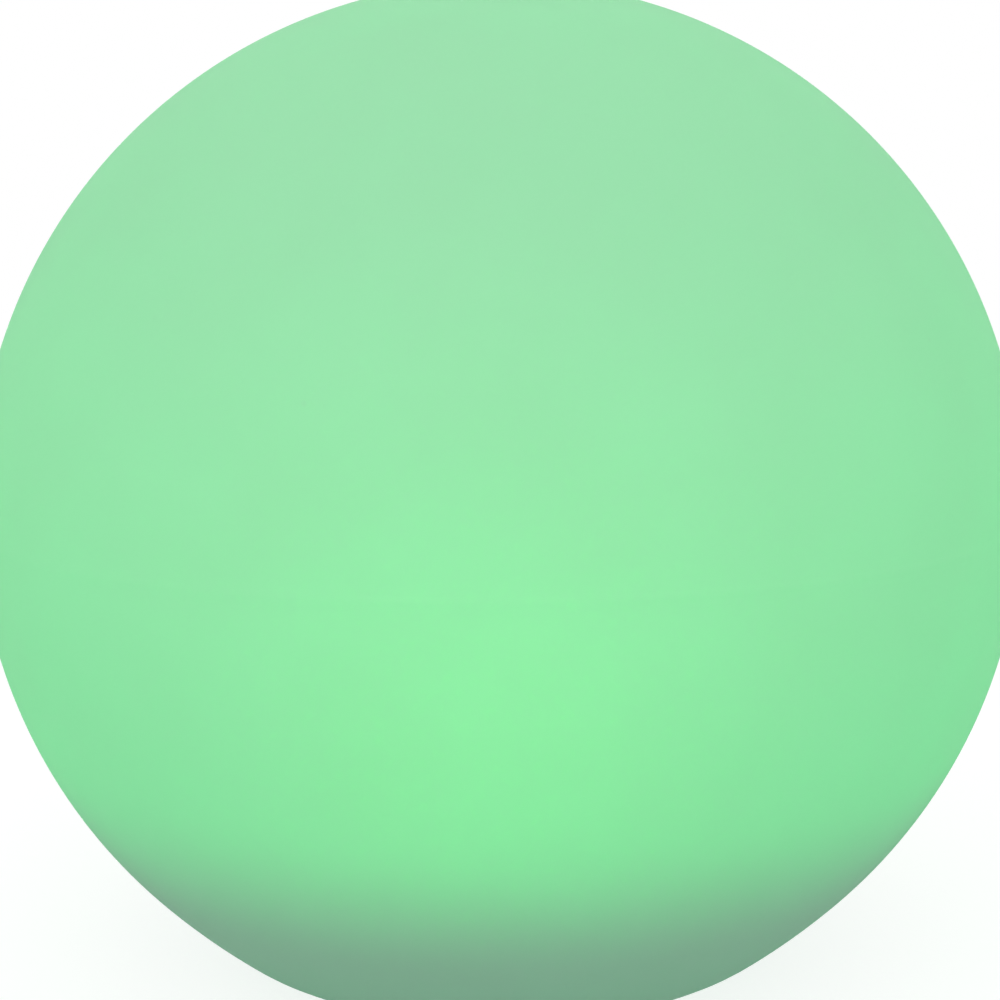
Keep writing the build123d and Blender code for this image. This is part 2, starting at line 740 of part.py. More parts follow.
# ---- cells in their cradle ----

TAB_T = 0.3
STRAP_T = 1.0
STRAP_WIDTH = 4.8
STRAP_FIT = 0.1
STRAP_X = 18.0
CRADLE_HALF_LENGTH = 28.0
CRADLE_HALF_WIDTH = 20.0
CRADLE_TOP_Z = 27.0
EAR_Z = CRADLE_Z + 2.0
EAR_T = 2.0
CELL_END_X = CELL_LENGTH / 2


def across_cells(x):
    """An upright plane across both cells, its X along +Y and its middle between them."""
    return Plane(origin=(x, 0, CELL_Z), x_dir=(0, 1, 0), z_dir=(1, 0, 0))


with BuildPart() as battery_cells:
    with BuildSketch(across_cells(-CELL_END_X)):
        with GridLocations(CELL_PITCH, 0, 2, 1):
            Circle(CELL_R - 0.05)
    extrude(amount=CELL_LENGTH - 1.0)
    fillet(battery_cells.edges().filter_by(GeomType.CIRCLE), 0.5)
    with BuildSketch(across_cells(CELL_END_X - 1.0)):
        with GridLocations(CELL_PITCH, 0, 2, 1):
            Circle(2.9)
    extrude(amount=1.0)

with BuildPart() as cell_tabs:
    for tab_x in (CELL_END_X, -CELL_END_X - TAB_T):
        with BuildSketch(across_cells(tab_x)):
            RectangleRounded(CELL_PITCH + 6.5, 6.5, 1.0)
        extrude(amount=TAB_T)

with BuildPart() as battery_cradle:
    with BuildSketch(at_height(CRADLE_Z)):
        RectangleRounded(2 * CRADLE_HALF_LENGTH, 2 * CRADLE_HALF_WIDTH, 3.0)
    extrude(amount=CRADLE_TOP_Z - CRADLE_Z)
    with BuildSketch(across_cells(-CRADLE_HALF_LENGTH)):
        with GridLocations(CELL_PITCH, 0, 2, 1):
            Circle(CELL_R)
    extrude(amount=2 * CRADLE_HALF_LENGTH, mode=Mode.SUBTRACT)
    for strap_x in (-STRAP_X, STRAP_X):
        with BuildSketch(across_cells(strap_x)):
            SlotCenterToCenter(CELL_PITCH, 2 * (CELL_R + STRAP_FIT + STRAP_T + 0.1))
        extrude(amount=(STRAP_WIDTH + 0.4) / 2, both=True, mode=Mode.SUBTRACT)
    for ear_angle in CRADLE_SCREW_ANGLES:
        ear = spot(BOSS_CIRCLE_R, ear_angle)
        with BuildSketch(at_height(EAR_Z)):
            with Locations(ear):
                Circle(3.0)
            with Locations((ear.X, ear.Y / 2 + CRADLE_HALF_WIDTH / 2 * ear.Y / abs(ear.Y))):
                Rectangle(6.0, abs(ear.Y) - CRADLE_HALF_WIDTH + 0.02)
            with Locations(ear):
                Circle(1.6, mode=Mode.SUBTRACT)
        extrude(amount=EAR_T)

with BuildPart() as cradle_screws:
    with Locations(spots(BOSS_CIRCLE_R, CRADLE_SCREW_ANGLES, EAR_Z)):
        add(pan_screw(1.35, 9.5, 2.7, 1.7))

with BuildPart() as battery_straps:
    for strap_x in (-STRAP_X, STRAP_X):
        with BuildSketch(across_cells(strap_x)):
            SlotCenterToCenter(CELL_PITCH, 2 * (CELL_R + STRAP_FIT + STRAP_T))
            SlotCenterToCenter(CELL_PITCH, 2 * (CELL_R + STRAP_FIT), mode=Mode.SUBTRACT)
        extrude(amount=STRAP_WIDTH / 2, both=True)

# ---- control board ----

HEADER_LENGTH = 10.0
HEADER_WIDTH = 4.6
HEADER_HEIGHT = 4.5
HEADER_WALL = 0.7
PLUG_LENGTH = HEADER_LENGTH - 2 * HEADER_WALL - 0.2
PLUG_WIDTH = HEADER_WIDTH - 2 * HEADER_WALL - 0.2
PLUG_HEIGHT = 6.0
PLUG_FLOOR = 0.8  # how far a plug stays off its header's floor
LOWER_SPOT = (4.2, -34.0)
UPPER_SPOT = (4.2, -30.0)
CELL_SPOT = (0.0, 27.0)
LED_SPOT = (0.0, 0.0)


def eared_disc(angles, thickness, bottom_z):
    """A disc that passes between the neck's bosses, with an ear out to each of these bosses."""
    with BuildPart() as disc:
        with BuildSketch(at_height(bottom_z)):
            Circle(INNER_DISC_R)
            for angle in angles:
                with Locations(turned(BOSS_CIRCLE_R - 4, angle)):
                    Rectangle(8.0, 7.0)
            with Locations(spots(BOSS_CIRCLE_R, angles)):
                Circle(3.2)
                Circle(1.6, mode=Mode.SUBTRACT)
        extrude(amount=thickness)
    return disc.part


def header(centre, board_z, up):
    """A wire-to-board header, open away from its board."""
    with BuildPart() as shell:
        with BuildSketch(at_height(board_z)):
            with Locations(centre):
                Rectangle(HEADER_LENGTH, HEADER_WIDTH)
        extrude(amount=HEADER_HEIGHT * up)
        with BuildSketch(at_height(board_z + HEADER_WALL * up)):
            with Locations(centre):
                Rectangle(HEADER_LENGTH - 2 * HEADER_WALL, HEADER_WIDTH - 2 * HEADER_WALL)
        extrude(amount=HEADER_HEIGHT * up, mode=Mode.SUBTRACT)
    return shell.part


def plug(centre, board_z, up):
    """The plug that sits in such a header."""
    with BuildPart() as block:
        with BuildSketch(at_height(board_z + PLUG_FLOOR * up)):
            with Locations(centre):
                RectangleRounded(PLUG_LENGTH, PLUG_WIDTH, 0.3)
        extrude(amount=PLUG_HEIGHT * up)
    return block.part


def plug_face(board_z, up):
    """The height at which wires leave a plug."""
    return board_z + (PLUG_FLOOR + PLUG_HEIGHT) * up


header_places = (
    (LOWER_SPOT, INTERFACE_TOP_Z, 1),
    (UPPER_SPOT, BOARD_Z, -1),
    (CELL_SPOT, BOARD_Z, -1),
    (LED_SPOT, BOARD_TOP_Z, 1),
)

with BuildPart() as control_board:
    add(eared_disc(BOARD_SCREW_ANGLES, BOARD_T, BOARD_Z))

with BuildPart() as board_screws:
    with Locations(spots(BOSS_CIRCLE_R, BOARD_SCREW_ANGLES, BOARD_Z)):
        add(pan_screw(1.35, 7.5, 2.6, 1.5))

with BuildPart() as wire_headers:
    for place in header_places:
        add(header(*place))

with BuildPart() as wire_plugs:
    for place in header_places:
        add(plug(*place))

CHIP_SIDE = 9.0
CHIP_T = 1.4
CHIP_SPOT = (-16.0, -8.0)
LEG_PITCH = 1.0
LEGS = 8

with BuildPart() as control_chip:
    with BuildSketch(at_height(BOARD_TOP_Z + 0.1)):
        with Locations(CHIP_SPOT):
            Rectangle(CHIP_SIDE, CHIP_SIDE)
    extrude(amount=CHIP_T)
    chamfer(control_chip.edges().group_by(Axis.Z)[-1], 0.2)
    with BuildSketch(at_height(BOARD_TOP_Z)):
        with Locations(CHIP_SPOT):
            with GridLocations(LEG_PITCH, 0, LEGS, 1):
                Rectangle(0.4, CHIP_SIDE + 2.4)
            with GridLocations(0, LEG_PITCH, 1, LEGS):
                Rectangle(CHIP_SIDE + 2.4, 0.4)
    extrude(amount=0.5)

with BuildPart() as power_inductor:
    with BuildSketch(at_height(BOARD_TOP_Z)):
        with Locations((15.0, 12.0)):
            RectangleRounded(10.0, 10.0, 2.0)
    extrude(amount=4.6)
    fillet(power_inductor.edges().group_by(Axis.Z)[-1], 0.6)

with BuildPart() as smoothing_capacitors:
    with BuildSketch(at_height(BOARD_TOP_Z)):
        with Locations((17.0, -8.0), (17.0, -16.5)):
            Rectangle(6.6, 6.6)
    extrude(amount=0.8)
    with BuildSketch(at_height(BOARD_TOP_Z + 0.8)):
        with Locations((17.0, -8.0), (17.0, -16.5)):
            Circle(3.15)
    extrude(amount=5.2)
    fillet(smoothing_capacitors.edges().group_by(Axis.Z)[-1], 0.5)

with BuildPart() as board_chips:
    with BuildSketch(at_height(BOARD_TOP_Z)):
        with Locations((-14.0, 12.0)):
            Rectangle(5.0, 4.0)
        with Locations((-5.5, -20.0)):
            with GridLocations(3.2, 3.6, 4, 2):
                Rectangle(2.0, 1.25)
        with Locations((0.0, 18.0)):
            with GridLocations(4.5, 0, 4, 1):
                Rectangle(1.25, 2.0)
    extrude(amount=0.9)

# ---- wires: from the cells, to the small board and to the lamps ----

CELL_WIRE_R = 0.8
WIRE_R = 0.55
WIRE_PITCH = 2.0
OVER_CELLS_Z = 42.9
TAB_FACE_X = CELL_END_X + TAB_T
LOOP_TOP_Z = LED_BOARD_Z + BOARD_T + 2.0


def cell_lead(side):
    """A lead from one tab, over the cells and up into its plug; side is 1 or -1 along X."""
    plug_x = side * WIRE_PITCH
    cell_y = CELL_PITCH / 2
    return tube(
        [
            (side * TAB_FACE_X, cell_y, CELL_Z),
            (side * (TAB_FACE_X + 3.0), cell_y, CELL_Z),
            (side * (TAB_FACE_X + 3.0), cell_y + 1.0, OVER_CELLS_Z - 1.0),
            (side * 22.0, 19.5, OVER_CELLS_Z - 2.0),
            (side * 10.0, 24.0, 34.0),
            (plug_x, CELL_SPOT[1], 33.0),
            (plug_x, CELL_SPOT[1], plug_face(BOARD_Z, -1)),
        ],
        [1.4, 2.5, 5.0, 3.5, 1.6],
        CELL_WIRE_R,
    )


with BuildPart() as battery_lead_red:
    add(cell_lead(1))

with BuildPart() as battery_lead_black:
    add(cell_lead(-1))

with BuildPart() as interface_wires:
    for wire in range(4):
        wire_x = LOWER_SPOT[0] + (wire - 1.5) * WIRE_PITCH
        add(
            tube(
                [
                    (wire_x, LOWER_SPOT[1], plug_face(INTERFACE_TOP_Z, 1)),
                    (wire_x, LOWER_SPOT[1], 28.0),
                    (wire_x, UPPER_SPOT[1], 33.5),
                    (wire_x, UPPER_SPOT[1], plug_face(BOARD_Z, -1)),
                ],
                3.0,
                WIRE_R,
            )
        )

LED_PAD_ANGLES = (162, 234, 90, 306, 18)
LED_PAD_R = 7.5
LED_WIRE_PITCH = 1.5

with BuildPart() as led_wires:
    for wire, pad_angle in enumerate(LED_PAD_ANGLES):
        lead_x = (wire - 2) * LED_WIRE_PITCH
        pad = spot(LED_PAD_R, pad_angle)
        add(
            tube(
                [
                    (lead_x, 0, plug_face(BOARD_TOP_Z, 1)),
                    (lead_x, 0, LOOP_TOP_Z),
                    (pad.X, pad.Y, LOOP_TOP_Z),
                    (pad.X, pad.Y, LED_BOARD_Z + BOARD_T),
                ],
                1.1,
                WIRE_R,
            )
        )

# ---- lamp head ----

WIRE_HOLE_R = 5.0
LED_SCREW_R = 25.6
LED_SCREW_ANGLES = (30, 150, 270)
LED_SIDE = 5.0
LED_T = 1.6
LED_TOP_Z = LED_BOARD_Z + BOARD_T
LED_RINGS = ((12.5, 4, 45.0), (20.5, 8, 0.0))  # circle radius, how many, first angle
DOME_R = 36.0
DOME_WALL = 2.0
DOME_TOP_Z = 84.0
DOME_MIDDLE_Z = DOME_TOP_Z - DOME_R
DOME_FLANGE_R = 41.4

with BuildPart() as heat_spreader:
    add(eared_disc(SPREADER_SCREW_ANGLES, SPREADER_T, SPREADER_Z))
    with BuildSketch(at_height(SPREADER_Z)):
        Circle(WIRE_HOLE_R)
        with Locations(spots(LED_SCREW_R, LED_SCREW_ANGLES)):
            Circle(1.25)
    extrude(amount=SPREADER_T, mode=Mode.SUBTRACT)
    chamfer(heat_spreader.edges().filter_by(GeomType.CIRCLE).group_by(Axis.Z)[0], 0.2)

with BuildPart() as spreader_screws:
    with Locations(spots(BOSS_CIRCLE_R, SPREADER_SCREW_ANGLES, SPREADER_Z)):
        add(pan_screw(1.15, 4.6, 2.4, 1.4))



def lamp_layer(radius, bottom_z, thickness):
    """A disc on the spreader, with the wires' hole and its three screw holes."""
    with BuildPart() as disc:
        with BuildSketch(at_height(bottom_z)):
            Circle(radius)
            Circle(WIRE_HOLE_R - 0.4, mode=Mode.SUBTRACT)
            with Locations(spots(LED_SCREW_R, LED_SCREW_ANGLES)):
                Circle(1.4, mode=Mode.SUBTRACT)
        extrude(amount=thickness)
    return disc


thermal_pad = lamp_layer(LED_BOARD_R - 0.5, HEAD_Z, PAD_T)
led_board = lamp_layer(LED_BOARD_R, LED_BOARD_Z, BOARD_T)

with BuildPart() as led_board_screws:
    with Locations(spots(LED_SCREW_R, LED_SCREW_ANGLES, LED_TOP_Z)):
        add(flipped(pan_screw(1.2, 3.8, 2.3, 1.3)))

with BuildPart() as led_packages:
    for ring_r, count, first in LED_RINGS:
        for step in range(count):
            place = turned(ring_r, first + 360 / count * step, LED_TOP_Z)
            with BuildSketch(Plane(place)):
                Rectangle(LED_SIDE, LED_SIDE)
            extrude(amount=LED_T)
            with BuildSketch(Plane(place).offset(LED_T)):
                Circle(LED_SIDE * 0.4)
            extrude(amount=-0.4, mode=Mode.SUBTRACT)

dome_seal = washer(SEAL_GROOVE_R - 0.85, SEAL_GROOVE_R + 0.85, RIM_Z - DOME_SEAL_T, DOME_SEAL_T, edge=0.3)

with BuildPart() as lens_dome:
    with BuildSketch(Plane.XZ):
        with Locations((0, DOME_MIDDLE_Z)):
            Circle(DOME_R)
        with Locations((DOME_FLANGE_R / 2, RIM_Z + DOME_FLANGE_T / 2)):
            Rectangle(DOME_FLANGE_R, DOME_FLANGE_T)
        with Locations((0, DOME_MIDDLE_Z)):
            Circle(DOME_R - DOME_WALL, mode=Mode.SUBTRACT)
        with Locations((0, RIM_Z)):
            Rectangle(200, 100, align=(Align.CENTER, Align.MAX), mode=Mode.SUBTRACT)
        with Locations((0, RIM_Z)):
            Rectangle(100, 200, align=(Align.MAX, Align.CENTER), mode=Mode.SUBTRACT)
    revolve(axis=Axis.Z)
    with BuildSketch(at_height(RIM_Z)):
        with Locations(spots(CLAMP_CIRCLE_R, CLAMP_SCREW_ANGLES)):
            Circle(1.4)
    extrude(amount=DOME_FLANGE_T, mode=Mode.SUBTRACT)

with BuildPart() as dome_clamp_ring:
    with BuildSketch(at_height(CLAMP_Z)):
        Circle(NECK_R)
        Circle(DOME_R - DOME_WALL, mode=Mode.SUBTRACT)
    extrude(amount=CLAMP_T)
    fillet(dome_clamp_ring.edges().group_by(Axis.Z)[-1], 0.6)
    with Locations(spots(CLAMP_CIRCLE_R, CLAMP_SCREW_ANGLES, CLAMP_Z + CLAMP_T)):
        add(flipped(flat_hole(1.4, CLAMP_T + 1, 2.5)), mode=Mode.SUBTRACT)

with BuildPart() as clamp_screws:
    with Locations(spots(CLAMP_CIRCLE_R, CLAMP_SCREW_ANGLES, CLAMP_Z + CLAMP_T)):
        add(flipped(flat_screw(1.15, 12.0, 2.4)))

# ---- the pieces, by the names that they are kept under ----

pieces = {
    "globe_shell": globe_shell,
    "foot_ring": foot_ring,
    "mounting_ring": mounting_ring,
    "ring_gasket": ring_gasket,
    "ring_screws": ring_screws,
    "flange_seal": flange_seal,
    "module_housing": module_housing,
    "cover_seal": cover_seal,
    "base_cover": base_cover,
    "cover_screws": cover_screws,
    "power_button": power_button,
    "button_ring": button_ring,
    "button_clip": button_clip,
    "switch_plunger": switch_plunger,
    "tact_switch": tact_switch,
    "port_cover": port_cover,
    "port_plug": port_plug,
    "port_hinge_pin": port_hinge_pin,
    "charge_socket": charge_socket,
    "socket_tongue": socket_tongue,
    "port_gasket": port_gasket,
    "interface_board": interface_board,
    "interface_screws": interface_screws,
    "indicator_lens": indicator_lens,
    "indicator_led": indicator_led,
    "battery_cells": battery_cells,
    "cell_tabs": cell_tabs,
    "battery_cradle": battery_cradle,
    "cradle_screws": cradle_screws,
    "battery_straps": battery_straps,
    "control_board": control_board,
    "board_screws": board_screws,
    "wire_headers": wire_headers,
    "wire_plugs": wire_plugs,
    "control_chip": control_chip,
    "power_inductor": power_inductor,
    "smoothing_capacitors": smoothing_capacitors,
    "board_chips": board_chips,
    "battery_lead_red": battery_lead_red,
    "battery_lead_black": battery_lead_black,
    "interface_wires": interface_wires,
    "led_wires": led_wires,
    "heat_spreader": heat_spreader,
    "spreader_screws": spreader_screws,
    "thermal_pad": thermal_pad,
    "led_board": led_board,
    "led_board_screws": led_board_screws,
    "led_packages": led_packages,
    "lens_dome": lens_dome,
    "dome_seal": dome_seal,
    "dome_clamp_ring": dome_clamp_ring,
    "clamp_screws": clamp_screws,
}

os.makedirs("parts", exist_ok=True)
for name, piece in pieces.items():
    piece.part.label = name
    export_step(piece.part, f"parts/{name}.step")
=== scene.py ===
"""The looks of a rechargeable garden globe light: a hollow rotomoulded ball that glows green.

A lamp module is screwed up into the ball's underside. Sizes are in metres, +Z is up, and the
origin is on the ground under the middle of the ball. The button and the charging port are on -Y.
"""

import logging
import math
from dataclasses import dataclass
from enum import Enum
from typing import Any, Optional

import bmesh
import bpy
from bpy.types import Material, Node, NodeSocket, NodeTree, Object
from mathutils import Matrix, Vector


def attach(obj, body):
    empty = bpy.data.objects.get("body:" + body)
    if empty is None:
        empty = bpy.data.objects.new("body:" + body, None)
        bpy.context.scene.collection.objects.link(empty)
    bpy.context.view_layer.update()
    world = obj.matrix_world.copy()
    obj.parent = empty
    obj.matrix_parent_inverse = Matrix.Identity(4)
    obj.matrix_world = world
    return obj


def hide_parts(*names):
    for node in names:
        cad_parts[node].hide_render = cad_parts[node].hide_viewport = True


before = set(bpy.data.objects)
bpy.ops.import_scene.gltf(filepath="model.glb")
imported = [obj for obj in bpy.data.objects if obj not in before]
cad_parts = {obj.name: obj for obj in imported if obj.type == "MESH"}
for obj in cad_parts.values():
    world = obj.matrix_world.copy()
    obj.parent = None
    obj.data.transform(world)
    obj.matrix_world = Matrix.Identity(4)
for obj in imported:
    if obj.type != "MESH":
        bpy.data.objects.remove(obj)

MM = 0.001
BALL_RADIUS = 0.150
# The painted glow and its painted shade are levelled from this height
BALL_MIDDLE_Z = 0.13369  # where the levels of the glow are measured from
RING_INNER = 0.0578  # the foot ring, and the groove that holds it
RING_OUTER = 0.0620
CONTROL_RADIUS = 0.0342  # of the circle that the button and the indicator stand on
BUTTON_ANGLE = 292.0
RAIL = 1.0  # radius of the circle that sections are swept along
WELD = 2e-6  # points nearer than this are merged, which closes a turned body's seam and poles
FLAT = (1.0, 1.0, 0.0)  # what a place is multiplied by to leave its height out
SEAM_SWELLS = 70.0  # how many times the parting line swells in a metre of its way
SEAM_LEVEL = 0.62  # the noise above which it stands more proud, a little over the noise's middle
CORNER_STEPS = 4  # runs in each rounded corner of a line
CORNER_SHARE = 0.45  # the most that a rounded corner takes of the run beside it
WAVE_BANDS = 20 / math.tau  # bands that a wave texture draws in each unit at a scale of one
Point = tuple[float, float]
Colour = tuple[float, float, float, float]
Inputs = dict[Any, Any]
log = logging.getLogger("garden_globe")


# ---- small helpers ----


def linear(hexcode: str, strength: float = 1.0) -> Colour:
    """Turns an sRGB hex colour into a linear one.

    Args:
        hexcode: Six hex digits after a hash.
        strength: What each channel is multiplied by.

    Returns:
        Red, green, blue and an alpha of one.
    """
    channels = []
    for start in (1, 3, 5):
        value = int(hexcode[start : start + 2], 16) / 255
        value = value / 12.92 if value <= 0.04045 else ((value + 0.055) / 1.055) ** 2.4
        channels.append(value * strength)
    return channels[0], channels[1], channels[2], 1.0


def feed(node: Node, inputs: Inputs) -> None:
    """Links or sets some inputs of a node.

    Args:
        node: The node.
        inputs: Input name or number, to an output socket that feeds it, a node whose first output
            does, or a plain value.
    """
    for name, value in inputs.items():
        if isinstance(value, Node):
            value = value.outputs[0]
        if isinstance(value, NodeSocket):
            node.id_data.links.new(value, node.inputs[name])
        else:
            node.inputs[name].default_value = value


def add(tree: NodeTree, kind: str, inputs: Optional[Inputs] = None, **settings: Any) -> Node:
    """Adds a node with its settings and links.

    Args:
        tree: The node tree that the node goes into.
        kind: The node's type, as Blender names it.
        inputs: What its inputs are given, as feed takes it.
        settings: Properties of the node itself.

    Returns:
        The new node.
    """
    made = tree.nodes.new(kind)
    for name, value in settings.items():
        setattr(made, name, value)
    feed(made, inputs or {})
    return made


def outward(degrees: float) -> Vector:
    """The direction in a section, from the ball's middle, at this angle up from straight down."""
    return Vector((math.sin(math.radians(degrees)), -math.cos(math.radians(degrees))))


def spot(radius: float, degrees: float) -> Vector:
    """The point at this radius, and this angle from +X, round the upright axis."""
    angle = math.radians(degrees)
    return Vector((radius * math.cos(angle), radius * math.sin(angle), 0.0))


def arc(middle: Vector, radius: float, start: float, end: float, step: float) -> list[Point]:
    """Samples an arc of a section.

    Args:
        middle: The arc's middle, as radius from the axis and height.
        radius: The arc's own radius.
        start: Where it starts, in degrees up from straight down.
        end: Where it ends, in the same degrees.
        step: The longest chord between two points.

    Returns:
        The points, with both ends.
    """
    count = max(2, math.ceil(abs(math.radians(end - start)) * radius / step))
    points = []
    for index in range(count + 1):
        at = middle + outward(start + (end - start) * index / count) * radius
        points.append((at.x, at.y))
    return points


def bow(radius: float, start: float, end: float, count: int, y: float = 0.0) -> list[Point]:
    """An arc seen from above, from one angle to another, in so many chords about a middle on Y."""
    points = [spot(radius, start + (end - start) * index / count) for index in range(count + 1)]
    return [(point.x, point.y + y) for point in points]


def placed(outline: list[Point], middle: Vector, degrees: float) -> list[Point]:
    """Turns an outline about the origin, and then moves it.

    Args:
        outline: The outline's points.
        middle: Where its origin goes.
        degrees: How far it is turned, towards +Y.

    Returns:
        The points in their place.
    """
    across, along = spot(1, degrees), spot(1, degrees + 90)
    points = [middle + across * x + along * y for x, y in outline]
    return [(point.x, point.y) for point in points]


def rounded(corners: list[Point], radius: float) -> list[Point]:
    """Rounds the inner corners of a broken line.

    Args:
        corners: The line's points. Its two ends stay as they are.
        radius: How far back along each run a corner starts to turn.

    Returns:
        The line with each corner as a short curve.
    """
    points = [corners[0]]
    for before, here, after in zip(corners, corners[1:], corners[2:]):
        corner = Vector(here)
        into, out = Vector(before) - corner, Vector(after) - corner
        start = corner + into.normalized() * min(radius, into.length * CORNER_SHARE)
        end = corner + out.normalized() * min(radius, out.length * CORNER_SHARE)
        for step in range(CORNER_STEPS + 1):
            t = step / CORNER_STEPS
            at = start * (1 - t) ** 2 + corner * 2 * t * (1 - t) + end * t**2
            points.append((at.x, at.y))
    return points + [corners[-1]]


def rounded_outline(corners: list[Point], radius: float) -> list[Point]:
    """Rounds every corner of a closed outline."""
    first = (Vector(corners[-1]) + Vector(corners[0])) / 2
    return rounded([tuple(first), *corners, tuple(first)], radius)[:-1]


def linked(name: str, data: Any) -> Object:
    """Makes an object and puts it in the scene.

    Args:
        name: Its name.
        data: Its mesh, lamp or camera.

    Returns:
        The object.
    """
    made = bpy.data.objects.new(name, data)
    bpy.context.scene.collection.objects.link(made)
    return made


def mesh_object(name: str, vertices: list, edges: list, faces: list) -> Object:
    """Makes an object from plain lists.

    Args:
        name: Its name.
        vertices: Places of three numbers each.
        edges: Pairs of vertices, for a chain without faces.
        faces: Loops of vertices.

    Returns:
        The object.
    """
    mesh = bpy.data.meshes.new(name)
    mesh.from_pydata(vertices, edges, faces)
    return linked(name, mesh)


def shape_object(name: str, shape: bmesh.types.BMesh) -> Object:
    """Makes an object from an edited mesh.

    Args:
        name: Its name.
        shape: The edited mesh. It is freed.

    Returns:
        The object.
    """
    mesh = bpy.data.meshes.new(name)
    shape.to_mesh(mesh)
    shape.free()
    return linked(name, mesh)


def round_edges(shape: bmesh.types.BMesh, edges: Any, edge: float) -> None:
    """Rounds these edges of a shape by this much."""
    bmesh.ops.bevel(
        shape, geom=edges, offset=edge, segments=2, profile=0.5, affect="EDGES", clamp_overlap=True
    )


def block(name: str, size: Vector, edge: float) -> Object:
    """Makes a block with rounded edges, as one tooth of a pattern.

    Args:
        name: Its name.
        size: Its length, width and height.
        edge: How far its edges are rounded.

    Returns:
        The block, about the origin.
    """
    shape = bmesh.new()
    bmesh.ops.create_cube(shape, size=1.0)
    bmesh.ops.scale(shape, vec=size, verts=shape.verts)
    round_edges(shape, shape.edges, edge)
    return shape_object(name, shape)


def raised(name: str, outlines: list[list[Point]], low: float, high: float, edge: float) -> Object:
    """Raises flat outlines into solids whose lower edges are rounded.

    Args:
        name: The piece's name.
        outlines: Closed outlines, seen from above.
        low: The height of their face.
        high: The height of their root.
        edge: How far the face's edges are rounded.

    Returns:
        One object with a closed solid for each outline.
    """
    shape = bmesh.new()
    for outline in outlines:
        face, root = ([shape.verts.new((x, y, z)) for x, y in outline] for z in (low, high))
        shape.faces.new(face)
        shape.faces.new(root)
        for here in range(len(outline)):
            shape.faces.new((face[here - 1], face[here], root[here], root[here - 1]))
    bmesh.ops.recalc_face_normals(shape, faces=shape.faces)
    rims = [e for e in shape.edges if all(abs(v.co.z - low) < 1e-9 for v in e.verts)]
    round_edges(shape, rims, edge)
    return shape_object(name, shape)


# ---- finishes ----


class Grain(Enum):
    """What the mould or the tool leaves on a surface."""

    SPARKED = "the fine even pits of a spark-eroded mould"
    PEEL = "the soft orange peel of plastic that set against a cast mould"
    TURNED = "rings about the upright axis"
    ROLLED = "straight lines along X"
    WOVEN = "threads that cross over and under"
    SMOOTH = "none, because the face set against air"


def waves(tree: NodeTree, place: NodeSocket, pitch_mm: float) -> list[NodeSocket]:
    """Even bands, from 0 to 1.

    Args:
        tree: The material's node tree.
        place: The Object coordinates.
        pitch_mm: How far apart the bands are.

    Returns:
        The socket with the bands across X, and the one with those across Y.
    """
    scale = 1000 / pitch_mm / WAVE_BANDS
    made = [
        add(tree, "ShaderNodeTexWave", {"Vector": place, "Scale": scale}, bands_direction=way)
        for way in "XY"
    ]
    return [wave.outputs["Fac"] for wave in made]


